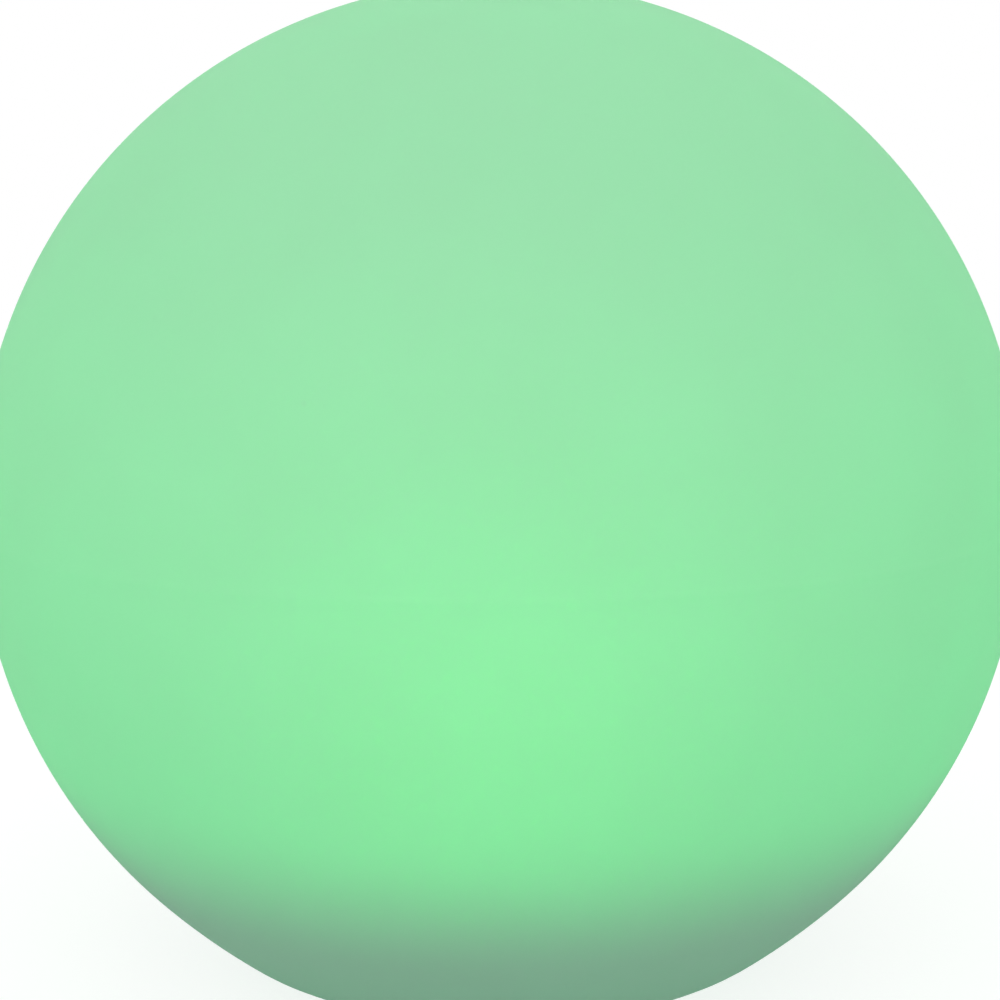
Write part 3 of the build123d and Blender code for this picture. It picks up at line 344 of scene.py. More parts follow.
@dataclass(frozen=True)
class Finish:
    """A material: what it is made of, how its surface was made, and what that gives the eye."""

    name: str
    colour: str
    roughness: float
    tone: float = 0.04
    unevenness: float = 0.05
    patch_mm: float = 14.0
    grain: Grain = Grain.SPARKED
    grain_mm: float = 0.5
    depth_mm: float = 0.012
    streak: float = 0.02  # a rolled line's scale along its length, as a share of that across it
    metallic: float = 0.0
    ior: float = 1.5
    transmission: float = 0.0
    specular: float = 0.5

    def patches(self, tree: NodeTree, place: NodeSocket) -> NodeSocket:
        """Soft cloudy patches, from 0 to 1, at these Object coordinates."""
        size = {"Vector": place, "Scale": 1000 / self.patch_mm, "Detail": 3.0}
        return add(tree, "ShaderNodeTexNoise", size).outputs["Fac"]

    def relief(self, tree: NodeTree, place: NodeSocket) -> NodeSocket:
        """The height of the grain, from 0 to 1.

        Args:
            tree: The material's node tree.
            place: The Object coordinates.

        Returns:
            The socket with the grain's height.
        """
        scale = 1000 / self.grain_mm
        if self.grain is Grain.TURNED:
            level = add(tree, "ShaderNodeVectorMath", {0: place, 1: FLAT}, operation="MULTIPLY")
            radius = add(tree, "ShaderNodeVectorMath", {0: level}, operation="LENGTH").outputs["Value"]
            rings = {"W": radius, "Scale": scale}
            return add(tree, "ShaderNodeTexNoise", rings, noise_dimensions="1D").outputs["Fac"]
        if self.grain is Grain.WOVEN:
            across, along = waves(tree, place, self.grain_mm)
            return add(tree, "ShaderNodeMath", {0: across, 1: along}, operation="MAXIMUM").outputs[0]
        if self.grain is Grain.SPARKED:
            pits = {"Vector": place, "Scale": scale}
            return add(tree, "ShaderNodeTexVoronoi", pits, feature="SMOOTH_F1").outputs["Distance"]
        if self.grain is Grain.ROLLED:
            stretch = (self.streak, 1.0, 1.0)
            place = add(tree, "ShaderNodeMapping", {"Vector": place, "Scale": stretch}).outputs[0]
        soft = {"Vector": place, "Scale": scale, "Detail": 2.0}
        return add(tree, "ShaderNodeTexNoise", soft).outputs["Fac"]

    def build(self) -> Material:
        """Makes the material from the finish's values."""
        material = bpy.data.materials.new(self.name)
        material.use_nodes = True
        tree = material.node_tree
        shader = tree.nodes["Principled BSDF"]
        place = add(tree, "ShaderNodeTexCoord").outputs["Object"]
        patches = self.patches(tree, place)
        dark, pale = linear(self.colour, 1 - self.tone), linear(self.colour, 1 + self.tone)
        colour = add(tree, "ShaderNodeMix", {0: patches}, data_type="RGBA")
        feed(colour, {6: dark, 7: pale})
        low, high = self.roughness - self.unevenness, self.roughness + self.unevenness
        dullness = add(tree, "ShaderNodeMapRange", {"Value": patches, "To Min": low, "To Max": high})
        feed(shader, {"Base Color": self.marked(tree, colour.outputs[2], place), "Roughness": dullness})
        if self.grain is not Grain.SMOOTH:
            height = self.relief(tree, place)
            depth = self.depth_mm * MM
            feed(shader, {"Normal": add(tree, "ShaderNodeBump", {"Height": height, "Distance": depth})})
        shader.inputs["Metallic"].default_value = self.metallic
        shader.inputs["IOR"].default_value = self.ior
        shader.inputs["Transmission Weight"].default_value = self.transmission
        shader.inputs["Specular IOR Level"].default_value = self.specular
        self.finish(tree, shader, place)
        return material

    def marked(self, tree: NodeTree, colour: NodeSocket, place: NodeSocket) -> NodeSocket:
        """Draws a pattern over the colour. The plain finishes have none."""
        return colour

    def finish(self, tree: NodeTree, shader: Node, place: NodeSocket) -> None:
        """Adds what only this kind of finish has. The plain ones have nothing more."""


@dataclass(frozen=True)
class CircuitBoard(Finish):
    """Solder mask over copper tracks, which run in short straight groups one way or the other."""

    tracks: str = "#2b7a48"
    track_mm: float = 1.1
    group_mm: float = 6.0
    track_edge: Point = (0.55, 0.7)
    track_share: float = 0.9

    def marked(self, tree: NodeTree, colour: NodeSocket, place: NodeSocket) -> NodeSocket:
        """Draws the tracks over the mask's colour.

        Args:
            tree: The material's node tree.
            colour: The mask's colour.
            place: The Object coordinates.

        Returns:
            The socket with both.
        """
        cells = {"Vector": place, "Scale": 1000 / self.group_mm}
        groups = add(tree, "ShaderNodeTexVoronoi", cells, distance="CHEBYCHEV").outputs["Color"]
        pick = add(tree, "ShaderNodeSeparateColor", {"Color": groups}).outputs["Red"]
        sideways = add(tree, "ShaderNodeMath", {0: pick, 1: 0.5}, operation="GREATER_THAN")
        across, along = waves(tree, place, self.track_mm)
        bands = add(tree, "ShaderNodeMix", {0: sideways, 2: across, 3: along}, data_type="FLOAT")
        low, high = self.track_edge
        edge = {"Value": bands, "From Min": low, "From Max": high, "To Max": self.track_share}
        copper = add(tree, "ShaderNodeMapRange", edge)
        drawn = add(tree, "ShaderNodeMix", {0: copper}, data_type="RGBA")
        feed(drawn, {6: colour, 7: linear(self.tracks)})
        return drawn.outputs[2]


@dataclass(frozen=True)
class GlowingWall(Finish):
    """A face of the ball's translucent wall, whose glow from inside is painted by height: a dim band
    below the level of the lamps' rim as painted shade of the lamp module, and a painted falloff towards
    the crown.
    """

    # Colours of the painted glow: towards the crown as painted falloff, above the lamps' rim, and below
    # it as painted shade
    crown: str = "#00a64e"
    lit: str = "#00b04a"
    dim: str = "#00683c"
    outer_face: bool = True
    strength: float = 1.0
    crown_share: float = 0.75
    full_share: float = -0.36
    dark_share: float = -0.70
    cloud_mm: float = 38.0
    cloud_noise: Point = (0.3, 0.7)
    cloud_depth: float = 0.035
    speck_mm: float = 26.0
    speck_edge: Point = (0.012, 0.04)
    speck_light: float = 0.93

    def level(self, share: float) -> float:
        """The height at this share of the radius above the ball's middle."""
        return BALL_MIDDLE_Z + share * BALL_RADIUS

    def clouds(self, tree: NodeTree, place: NodeSocket) -> Node:
        """Powder that melted unevenly lets a little more or less light through, in clouds and specks.

        Args:
            tree: The material's node tree.
            place: The Object coordinates.

        Returns:
            The node with the share of the light that gets through, near 1.
        """
        size = {"Vector": place, "Scale": 1000 / self.cloud_mm, "Detail": 2.0}
        noise = add(tree, "ShaderNodeTexNoise", size).outputs["Fac"]
        low, high = self.cloud_noise
        dull, bright = 1 - self.cloud_depth, 1 + self.cloud_depth
        spread = {"Value": noise, "From Min": low, "From Max": high, "To Min": dull, "To Max": bright}
        cloud = add(tree, "ShaderNodeMapRange", spread)
        cells = add(tree, "ShaderNodeTexVoronoi", {"Vector": place, "Scale": 1000 / self.speck_mm})
        low, high = self.speck_edge
        dimmed = {"Value": cells, "From Min": low, "From Max": high, "To Min": self.speck_light}
        speck = add(tree, "ShaderNodeMapRange", dimmed, interpolation_type="SMOOTHSTEP")
        return add(tree, "ShaderNodeMath", {0: cloud, 1: speck}, operation="MULTIPLY")

    def finish(self, tree: NodeTree, shader: Node, place: NodeSocket) -> None:
        """Adds the glow, painted by height: painted shade of the lamp module below the level that the
        lamps don't reach, and a painted falloff towards the crown.

        Args:
            tree: The material's node tree.
            shader: Its Principled shader.
            place: The Object coordinates.
        """
        height = add(tree, "ShaderNodeSeparateXYZ", {0: place}).outputs["Z"]
        # Painted light and shade: the glow's colour is mixed by height, dim below the lamps' rim as
        # painted shade of the module, and the crown colour towards the top as painted falloff.
        colour = linear(self.dim)
        for low, high, over in (
            (self.dark_share, self.full_share, self.lit),
            (0.0, self.crown_share, self.crown),
        ):
            span = {"Value": height, "From Min": self.level(low), "From Max": self.level(high)}
            reach = add(tree, "ShaderNodeMapRange", span, interpolation_type="SMOOTHSTEP")
            mix = add(tree, "ShaderNodeMix", {0: reach}, data_type="RGBA")
            feed(mix, {6: colour, 7: linear(over)})
            colour = mix.outputs[2]
        # Each face gives its light one way only, from the hollow out to the garden.
        way = add(tree, "ShaderNodeNewGeometry").outputs["Backfacing"]
        evenness = 1.0
        if self.outer_face:
            way = add(tree, "ShaderNodeMath", {0: 1.0, 1: way}, operation="SUBTRACT")
            evenness = self.clouds(tree, place)
        shown = add(tree, "ShaderNodeMath", {0: evenness, 1: way}, operation="MULTIPLY")
        power = add(tree, "ShaderNodeMath", {0: shown, 1: self.strength}, operation="MULTIPLY")
        feed(shader, {"Emission Color": colour, "Emission Strength": power})


@dataclass(frozen=True)
class LitLens(Finish):
    """A lens or a lamp that gives light."""

    light: str = "#28ff6a"
    strength: float = 2.0

    def finish(self, tree: NodeTree, shader: Node, place: NodeSocket) -> None:
        """Adds the light to the shader."""
        shader.inputs["Emission Color"].default_value = linear(self.light)
        shader.inputs["Emission Strength"].default_value = self.strength


# ---- geometry trees ----


def empty_tree(name: str, sizes: Inputs, materials: tuple[str, ...]) -> NodeTree:
    """Starts a geometry tree.

    Args:
        name: The tree's name.
        sizes: The name of each size that it takes, to its default value.
        materials: The names of the materials that it takes.

    Returns:
        The tree, with its inputs and its output but no nodes.
    """
    kinds = {int: "NodeSocketInt", float: "NodeSocketFloat", tuple: "NodeSocketVector"}
    tree = bpy.data.node_groups.new(name, "GeometryNodeTree")
    face = tree.interface
    face.new_socket("Geometry", in_out="INPUT", socket_type="NodeSocketGeometry")
    for size, value in sizes.items():
        face.new_socket(size, in_out="INPUT", socket_type=kinds[type(value)]).default_value = value
    for material in materials:
        face.new_socket(material, in_out="INPUT", socket_type="NodeSocketMaterial")
    face.new_socket("Geometry", in_out="OUTPUT", socket_type="NodeSocketGeometry")
    return tree


def lathe_tree() -> NodeTree:
    """Builds the tree that turns a section round Z, and lets a raised seam vary a little round its way.

    Returns:
        A tree whose input is a chain of edges: X is the radius less the rail's, Y is minus the height.
    """
    sizes = {"Segments": 256, "Seam height": 0.0, "Seam reach": 0.0, "Seam wander": 0.0, "Seed": 4.0}
    tree = empty_tree("Turned body", sizes, ("Material", "Second material"))
    given = add(tree, "NodeGroupInput").outputs

    circle = {"Resolution": given["Segments"], "Radius": RAIL}
    rail = add(tree, "GeometryNodeCurvePrimitiveCircle", circle)
    upright = add(tree, "GeometryNodeSetCurveNormal", {"Curve": rail}, mode="Z_UP")
    profile = add(tree, "GeometryNodeMeshToCurve", {"Mesh": given["Geometry"]})
    body = add(tree, "GeometryNodeCurveToMesh", {"Curve": upright, "Profile Curve": profile})
    closed = add(tree, "GeometryNodeMergeByDistance", {"Geometry": body, "Distance": WELD})

    # A hand-trimmed parting line stands a little more proud here and less there.
    place = add(tree, "GeometryNodeInputPosition")
    height = add(tree, "ShaderNodeSeparateXYZ", {0: place}).outputs["Z"]
    off = add(tree, "ShaderNodeMath", {0: height, 1: given["Seam height"]}, operation="SUBTRACT")
    away = add(tree, "ShaderNodeMath", {0: off}, operation="ABSOLUTE")
    fade = {"Value": away, "From Min": 0.0, "From Max": given["Seam reach"], "To Min": 1.0, "To Max": 0.0}
    on_crest = add(tree, "ShaderNodeMapRange", fade)
    swells = {"Vector": place, "W": given["Seed"], "Scale": SEAM_SWELLS}
    noise = add(tree, "ShaderNodeTexNoise", swells, noise_dimensions="4D").outputs["Fac"]
    more = add(tree, "ShaderNodeMath", {0: noise, 1: SEAM_LEVEL}, operation="SUBTRACT")
    amount = add(tree, "ShaderNodeMath", {0: more, 1: given["Seam wander"]}, operation="MULTIPLY")
    faded = add(tree, "ShaderNodeMath", {0: amount, 1: on_crest}, operation="MULTIPLY")
    level = add(tree, "ShaderNodeVectorMath", {0: place, 1: FLAT}, operation="MULTIPLY")
    radial = add(tree, "ShaderNodeVectorMath", {0: level}, operation="NORMALIZE")
    push = add(tree, "ShaderNodeVectorMath", {0: radial, "Scale": faded}, operation="SCALE")
    moved = add(tree, "GeometryNodeSetPosition", {"Geometry": closed, "Offset": push})

    smooth = add(tree, "GeometryNodeSetShadeSmooth", {0: moved})
    plain = add(tree, "GeometryNodeRealizeInstances", {0: smooth})
    first = {"Geometry": plain, "Material": given["Material"]}
    dressed = add(tree, "GeometryNodeSetMaterial", first)
    inner = add(tree, "GeometryNodeInputNamedAttribute", {"Name": "inner"}, data_type="FLOAT")
    chosen = add(tree, "FunctionNodeCompare", {0: inner, 1: 0.5}, operation="GREATER_THAN")
    second = {"Geometry": dressed, "Selection": chosen, "Material": given["Second material"]}
    add(tree, "NodeGroupOutput", {0: add(tree, "GeometryNodeSetMaterial", second)})
    return tree


def copies_tree() -> NodeTree:
    """Builds the tree that repeats a small detail round the upright axis or along a straight row.

    Returns:
        A tree whose input is the detail about the origin, with +X as its outward side.
    """
    here = (0.0, 0.0, 0.0)
    sizes = {"Count": 8, "Radius": 0.0, "First turn": 0.0, "Turn each": 0.0, "Start": here, "Step": here}
    tree = empty_tree("Repeated detail", sizes, ("Material",))
    given = add(tree, "NodeGroupInput").outputs

    index = add(tree, "GeometryNodeInputIndex")
    turns = {0: index, 1: given["Turn each"], 2: given["First turn"]}
    turned = add(tree, "ShaderNodeMath", turns, operation="MULTIPLY_ADD")
    arm = add(tree, "ShaderNodeCombineXYZ", {"X": given["Radius"]})
    swing = {"Vector": arm, "Angle": turned}
    round_axis = add(tree, "ShaderNodeVectorRotate", swing, rotation_type="Z_AXIS")
    along = add(tree, "ShaderNodeVectorMath", {0: given["Step"], "Scale": index}, operation="SCALE")
    from_start = add(tree, "ShaderNodeVectorMath", {0: given["Start"], 1: along}, operation="ADD")
    place = add(tree, "ShaderNodeVectorMath", {0: round_axis, 1: from_start}, operation="ADD")
    points = add(tree, "GeometryNodePoints", {"Count": given["Count"], "Position": place})
    facing = add(tree, "ShaderNodeCombineXYZ", {"Z": turned})
    detail = {"Points": points, "Instance": given["Geometry"], "Rotation": facing}
    copies = add(tree, "GeometryNodeInstanceOnPoints", detail)
    plain = add(tree, "GeometryNodeRealizeInstances", {0: copies})
    dressed = add(tree, "GeometryNodeSetMaterial", {"Geometry": plain, "Material": given["Material"]})
    add(tree, "NodeGroupOutput", {0: dressed})
    return tree


class Workshop:
    """The materials and the geometry trees that every piece is made with."""

    def __init__(self) -> None:
        """Makes the materials and the trees."""
        finishes = {**FINISHES, **EXTRA_FINISHES}
        self.materials = {slot: finish.build() for slot, finish in finishes.items()}
        self.lathe = lathe_tree()
        self.copier = copies_tree()

    def grow(self, name: str, start: Object, tree: NodeTree, finish: str, inputs: Inputs) -> Object:
        """Runs a geometry tree on an object and keeps the result as a plain mesh.

        Args:
            name: The finished piece's name.
            start: The object that the tree starts from. It is removed.
            tree: The geometry tree.
            finish: What its Material input is given.
            inputs: Its other inputs by name.

        Returns:
            The finished piece, with no modifier.
        """
        modifier = start.modifiers.new(tree.name, "NODES")
        modifier.node_group = tree
        given = {"Material": self.materials[finish], **inputs}
        for item in tree.interface.items_tree:
            if item.in_out == "INPUT" and item.name in given:
                modifier[item.identifier] = given[item.name]
        bpy.context.view_layer.update()
        evaluated = start.evaluated_get(bpy.context.evaluated_depsgraph_get())
        mesh = bpy.data.meshes.new_from_object(evaluated)
        bpy.data.objects.remove(start)
        mesh.name = name
        return linked(name, mesh)

    def turn(
        self,
        name: str,
        sections: list[list[Point]],
        finish: str,
        inputs: Inputs,
        closed: bool = True,
        inner_from: Optional[int] = None,
    ) -> Object:
        """Turns sections round the upright axis.

        Args:
            name: The piece's name.
            sections: Points as radius and height, clockwise from the top.
            finish: The finish of its outside.
            inputs: The tree's other inputs by name.
            closed: Whether each section is a closed loop, or starts and ends on the axis.
            inner_from: The first point from which the second material is taken, if any is.

        Returns:
            The turned piece.
        """
        points, edges = [], []
        for section in sections:
            first = len(points)
            points += [(r - RAIL, -z, 0.0) for r, z in section]
            edges += [(i, i + 1) for i in range(first, len(points) - 1)]
            if closed:
                edges.append((len(points) - 1, first))
        chain = mesh_object(name + "_section", points, edges, [])
        if inner_from is None:
            inner_from = len(points)
        mark = chain.data.attributes.new("inner", "FLOAT", "POINT")
        mark.data.foreach_set("value", [float(index >= inner_from) for index in range(len(points))])
        return self.grow(name, chain, self.lathe, finish, inputs)

    def repeat(self, name: str, detail: Object, finish: str, inputs: Inputs) -> Object:
        """Repeats a detail, which is removed, round an axis or along a row, as one mesh."""
        return self.grow(name, detail, self.copier, finish, inputs)

    def dress(self, piece: Object, finish: str) -> None:
        """Gives a piece made without a tree its material."""
        piece.data.materials.append(self.materials[finish])

    def fit(self, piece: Object, body: str, slot: str, *stands_for: str) -> None:
        """Fixes a finished piece to its body and reports it.

        Args:
            piece: The finished piece.
            body: The body that it moves with.
            slot: The record's slot that its finish stands for. Not used.
            stands_for: The nodes whose place it takes.
        """
        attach(piece, body)
        if stands_for:
            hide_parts(*stands_for)
        log.info("%s: %d faces, on %s", piece.name, len(piece.data.polygons), body)


# ---- the ball ----


@dataclass
class Assembly:
    """A sub-assembly, with the workshop that makes its pieces."""

    shop: Workshop


@dataclass
class Globe(Assembly):
    """The rotomoulded ball, with its flat foot and the mouth that takes the lamp module."""

    radius: float = BALL_RADIUS
    wall: float = 0.003
    flare_angle: float = 45.5
    flare_radius: float = 0.210
    corner_angle: float = 37.5
    corner_radius: float = 0.037
    foot_proud: float = 0.0015
    recess_radius: float = 0.056
    ceiling_z: float = 0.016
    mouth_radius: float = 0.0475
    seam_height: float = 0.00008
    seam_reach: float = 0.00165
    seam_clear: float = 0.00231
    seam_half_steps: int = 6
    seam_wander: float = 0.00004
    ring_groove: float = 0.001
    edge: float = 0.0006
    turns: int = 320
    step: float = 0.0032
    inner_step: float = 0.00512

    def __post_init__(self) -> None:
        """Works out the section's middles from the driving sizes."""
        self.flare_middle = outward(self.flare_angle) * (self.radius - self.flare_radius)
        to_corner = self.flare_radius - self.corner_radius
        self.corner_middle = self.flare_middle + outward(self.corner_angle) * to_corner
        self.middle_z = self.foot_proud + self.corner_radius - self.corner_middle.y
        self.foot_radius = self.corner_middle.x

    def side(self, inset: float, step: float) -> list[Point]:
        """The side in section, from the top of the ball to the flat of its foot.

        Args:
            inset: How far the side lies inside the outer face.
            step: The longest chord.

        Returns:
            Points as radius and height.
        """
        middle = Vector((0.0, self.middle_z))
        flare, corner = middle + self.flare_middle, middle + self.corner_middle
        points = arc(middle, self.radius - inset, 180, self.flare_angle, step)
        points += arc(flare, self.flare_radius - inset, self.flare_angle, self.corner_angle, step)[1:]
        points += arc(corner, self.corner_radius - inset, self.corner_angle, 0, step)[1:]
        return [(0.0, points[0][1])] + points[1:]

    def outside(self) -> list[Point]:
        """The outer side, with the low parting line round its middle."""
        points = self.side(0.0, self.step)
        above = [p for p in points if p[1] > self.middle_z + self.seam_clear]
        below = [p for p in points if p[1] < self.middle_z - self.seam_clear]
        ridge = []
        for index in range(-self.seam_half_steps, self.seam_half_steps + 1):
            share = -index / self.seam_half_steps
            z = share * self.seam_reach
            swell = self.seam_height * math.cos(math.pi / 2 * share) ** 2
            ridge.append((self.radius * math.cos(z / self.radius) + swell, self.middle_z + z))
        return above + ridge + below

    def underside(self) -> list[Point]:
        """The foot's flat with the groove for the rubber ring, the recess and the mouth."""
        foot, top = self.foot_proud, self.ceiling_z + self.wall
        inner = self.recess_radius + self.wall
        corners = [
            (self.foot_radius, foot),
            (RING_OUTER, foot),
            (RING_OUTER, foot + self.ring_groove),
            (RING_INNER, foot + self.ring_groove),
            (RING_INNER, foot),
            (self.recess_radius, foot),
            (self.recess_radius, self.ceiling_z),
            (self.mouth_radius, self.ceiling_z),
            (self.mouth_radius, top),
            (inner, top),
            (inner, foot + self.wall),
            (self.foot_radius, foot + self.wall),
        ]
        return rounded(corners, self.edge)

    def build(self) -> None:
        """Turns the shell from its section and puts it in the place of the plain one."""
        outer_face = self.outside() + self.underside()[1:-1]
        inner_face = self.side(self.wall, self.inner_step)[::-1]
        sizes = {
            "Segments": self.turns,
            "Second material": self.shop.materials["polyethylene_inner_face"],
            "Seam height": self.middle_z,
            "Seam reach": self.seam_reach,
            "Seam wander": self.seam_wander,
        }
        shell = self.shop.turn(
            "globe_shell_skin",
            [outer_face + inner_face],
            "globe_polyethylene",
            sizes,
            closed=False,
            inner_from=len(outer_face),
        )
        self.shop.fit(shell, "globe", "globe_polyethylene", "globe_shell")


@dataclass
class FootRing(Assembly):
    """The rubber ring that the ball stands on, with a tread of small pads on its sole."""

    top: float = 0.0025
    sole: float = 0.0005
    edge: float = 0.0006
    turns: int = 192
    pads: int = 90
    pad_length: float = 0.0030
    pad_width: float = 0.0026
    pad_edge: float = 0.000175

    def build(self) -> None:
        """Turns the ring and sets its pads round it."""
        middle = (RING_INNER + RING_OUTER) / 2
        corners = [
            (middle, self.top),
            (RING_OUTER, self.top),
            (RING_OUTER, self.sole),
            (RING_INNER, self.sole),
            (RING_INNER, self.top),
            (middle, self.top),
        ]
        section = rounded(corners, self.edge)[:-1]
        ring = self.shop.turn("foot_ring_skin", [section], "black_rubber", {"Segments": self.turns})
        self.shop.fit(ring, "globe", "black_rubber", "foot_ring")
        pad = block("foot_pad", Vector((self.pad_length, self.pad_width, self.sole * 2)), self.pad_edge)
        sizes = {
            "Count": self.pads,
            "Radius": middle,
            "Start": Vector((0.0, 0.0, self.sole)),
            "Turn each": math.tau / self.pads,
        }
        self.shop.fit(self.shop.repeat("foot_tread", pad, "black_rubber", sizes), "globe", "black_rubber")


@dataclass
class BaseCover(Assembly):
    """The bottom cover's finger grips, its beads and its raised signs."""

    face_z: float = 0.0055
    bead: float = 0.0005
    bead_points: int = 14
    bead_sunk: float = 0.15
    bead_radii: Point = (0.0429, 0.0522)
    bead_turns: int = 192
    ribs: int = 72
    rib_radius: float = 0.04755
    rib_length: float = 0.0070
    rib_width: float = 0.0013
    rib_proud: float = 0.00045
    rib_edge: float = 0.00027
    bar_half_width: float = 0.0060
    bar_ribs: int = 15
    bar_pitch: float = 0.0028
    bar_low: float = 0.0082
    bar_high: float = 0.0162
    bar_rib_edge: float = 0.0003
    guards: tuple[tuple[str, float, float], ...] = (
        ("button_guard", BUTTON_ANGLE, 0.0062),
        ("indicator_guard", 275.0, 0.0026),
    )
    guard_bead: float = 0.0004
    guard_turns: int = 64
    sign_proud: float = 0.0004
    sign_root: float = 0.0001
    sign_edge: float = 0.0001
    sign_radius: float = 0.0362
    arrow_span: Point = (76.0, 104.0)
    arrow_head: float = 5.0
    arrow_half: float = 0.0006
    arrow_head_half: float = 0.0021
    arrow_steps: int = 16
    open_lock: float = 62.0
    closed_lock: float = 118.0
    lock_half: float = 0.0022
    lock_low: float = -0.0026
    lock_high: float = 0.0006
    lock_edge: float = 0.0005
    shackle_foot: float = 0.0004
    shackle_middle: float = 0.0012
    shackle_outer: float = 0.0017
    shackle_inner: float = 0.0010
    shackle_lift: float = 0.0013
    shackle_steps: int = 12

    def bead_section(self, radius: float, size: float) -> list[Point]:
        """A round bead in section, sunk a little in the cover's face.

        Args:
            radius: Its middle's distance from the axis.
            size: Its own radius.

        Returns:
            Points as radius and height, clockwise from the top.
        """
        middle = Vector((radius, self.face_z + size * self.bead_sunk))
        angles = [180 - index * 360 / self.bead_points for index in range(self.bead_points)]
        return [tuple(middle + outward(angle) * size) for angle in angles]

    def rim_grip(self) -> None:
        """Two beads round the cover, with the finger ribs between them."""
        rings = [self.bead_section(radius, self.bead) for radius in self.bead_radii]
        beads = self.shop.turn("cover_beads", rings, "white_abs", {"Segments": self.bead_turns})
        self.shop.fit(beads, "light_module", "white_abs")
        size = Vector((self.rib_length, self.rib_width, self.rib_proud * 2))
        rib = block("rim_rib", size, self.rib_edge)
        sizes = {
            "Count": self.ribs,
            "Radius": self.rib_radius,
            "Start": Vector((0.0, 0.0, self.face_z)),
            "Turn each": math.tau / self.ribs,
        }
        ribs = self.shop.repeat("cover_rim_ribs", rib, "white_abs", sizes)
        self.shop.fit(ribs, "light_module", "white_abs")

    def control_guards(self) -> None:
        """A bead round the button and one round the indicator."""
        for name, angle, radius in self.guards:
            section = self.bead_section(radius, self.guard_bead)
            ring = self.shop.turn(name, [section], "white_abs", {"Segments": self.guard_turns})
            ring.data.transform(Matrix.Translation(spot(CONTROL_RADIUS, angle)))
            self.shop.fit(ring, "light_module", "white_abs")

    def bar_grip(self) -> None:
        """Upright ribs along both sides of the grip bar."""
        half = self.bar_pitch * (self.bar_ribs - 1) / 2
        size = Vector((self.rib_width, self.rib_proud * 2, self.bar_high - self.bar_low))
        for name, side in (("grip_ribs_front", -1), ("grip_ribs_back", 1)):
            rib = block(name + "_one", size, self.bar_rib_edge)
            start = Vector((-half, side * self.bar_half_width, (self.bar_high + self.bar_low) / 2))
            step = Vector((self.bar_pitch, 0.0, 0.0))
            row = {"Count": self.bar_ribs, "Start": start, "Step": step}
            self.shop.fit(self.shop.repeat(name, rib, "white_abs", row), "light_module", "white_abs")

    def arrow(self) -> list[Point]:
        """A curved arrow that points the way the module is turned to let it out."""
        tip, tail = self.arrow_span
        neck = tip + self.arrow_head
        band = bow(self.sign_radius + self.arrow_half, neck, tail, self.arrow_steps)
        band += bow(self.sign_radius - self.arrow_half, tail, neck, self.arrow_steps)
        inner = spot(self.sign_radius - self.arrow_head_half, neck)
        outer = spot(self.sign_radius + self.arrow_head_half, neck)
        return band + [(p.x, p.y) for p in (inner, spot(self.sign_radius, tip), outer)]

    def padlock(self, degrees: float, lifted: float) -> list[list[Point]]:
        """A padlock's body and its shackle.

        Args:
            degrees: Where it stands round the cover.
            lifted: How far the shackle stands out of the body, in metres.

        Returns:
            The outlines of the two.
        """
        half, inner, outer = self.lock_half, self.shackle_inner, self.shackle_outer
        low, high = self.lock_low, self.lock_high
        body = rounded_outline([(-half, low), (half, low), (half, high), (-half, high)], self.lock_edge)
        foot, middle = self.shackle_foot, self.shackle_middle + lifted
        shackle = [(-outer, foot)] + bow(outer, 180, 0, self.shackle_steps, middle)
        shackle += [(outer, foot + lifted), (inner, foot + lifted)]
        shackle += bow(inner, 0, 180, self.shackle_steps, middle) + [(-inner, foot)]
        at = spot(self.sign_radius, degrees)
        return [placed(outline, at, degrees - 90) for outline in (body, shackle)]

    def signs(self) -> None:
        """The raised arrow between an open and a closed padlock."""
        locks = self.padlock(self.open_lock, self.shackle_lift) + self.padlock(self.closed_lock, 0.0)
        face, root = self.face_z - self.sign_proud, self.face_z + self.sign_root
        signs = raised("turn_signs", [self.arrow()] + locks, face, root, self.sign_edge)
        self.shop.dress(signs, "sign_paint")
        self.shop.fit(signs, "light_module", "grey_abs")

    def build(self) -> None:
        """Makes all that stands on the cover."""
        self.rim_grip()
        self.control_guards()
        self.bar_grip()
        self.signs()


@dataclass
class PowerButton(Assembly):
    """The button's sign, as paint laid in the sunk outline on its cap."""

    floor_z: float = 0.00525
    skin: float = 0.00010
    edge: float = 0.00002
    ring_outer: float = 0.00206
    ring_inner: float = 0.00174
    ring_gap: float = 26.0
    ring_steps: int = 40
    bar: Point = (0.00085, 0.00256)
    bar_half: float = 0.00019

    def build(self) -> None:
        """Lays the paint of a broken ring with a bar in its gap."""
        start, end = self.ring_gap, 360 - self.ring_gap
        ring = bow(self.ring_outer, start, end, self.ring_steps)
        ring += bow(self.ring_inner, end, start, self.ring_steps)
        (near, far), half = self.bar, self.bar_half
        bar = [(near, -half), (far, -half), (far, half), (near, half)]
        at = spot(CONTROL_RADIUS, BUTTON_ANGLE)
        outlines = [placed(outline, at, BUTTON_ANGLE) for outline in (ring, bar)]
        face, root = self.floor_z - self.skin, self.floor_z + self.edge
        paint = raised("button_sign", outlines, face, root, self.edge)
        self.shop.dress(paint, "sign_paint")
        self.shop.fit(paint, "power_button", "grey_abs")


@dataclass
class PortCover(Assembly):
    """The thumb ribs on the charging port's flap."""

    radius: float = 0.0336
    angle: float = 254.0
    face_z: float = 0.0056
    ribs: int = 3
    rib_from: float = -0.0002
    rib_pitch: float = 0.0013
    rib_length: float = 0.0094
    rib_width: float = 0.0006
    proud: float = 0.0003
    edge: float = 0.00018

    def build(self) -> None:
        """Makes the ribs."""
        rib = block("flap_rib", Vector((self.rib_width, self.rib_length, self.proud * 2)), self.edge)
        start = spot(self.radius + self.rib_from, self.angle)
        start.z = self.face_z
        sizes = {
            "Count": self.ribs,
            "Start": start,
            "Step": spot(self.rib_pitch, self.angle),
            "First turn": math.radians(self.angle),
        }
        ribs = self.shop.repeat("port_cover_ribs", rib, "white_abs", sizes)
        self.shop.fit(ribs, "port_cover", "white_abs")


# ---- camera, floor and lights ----


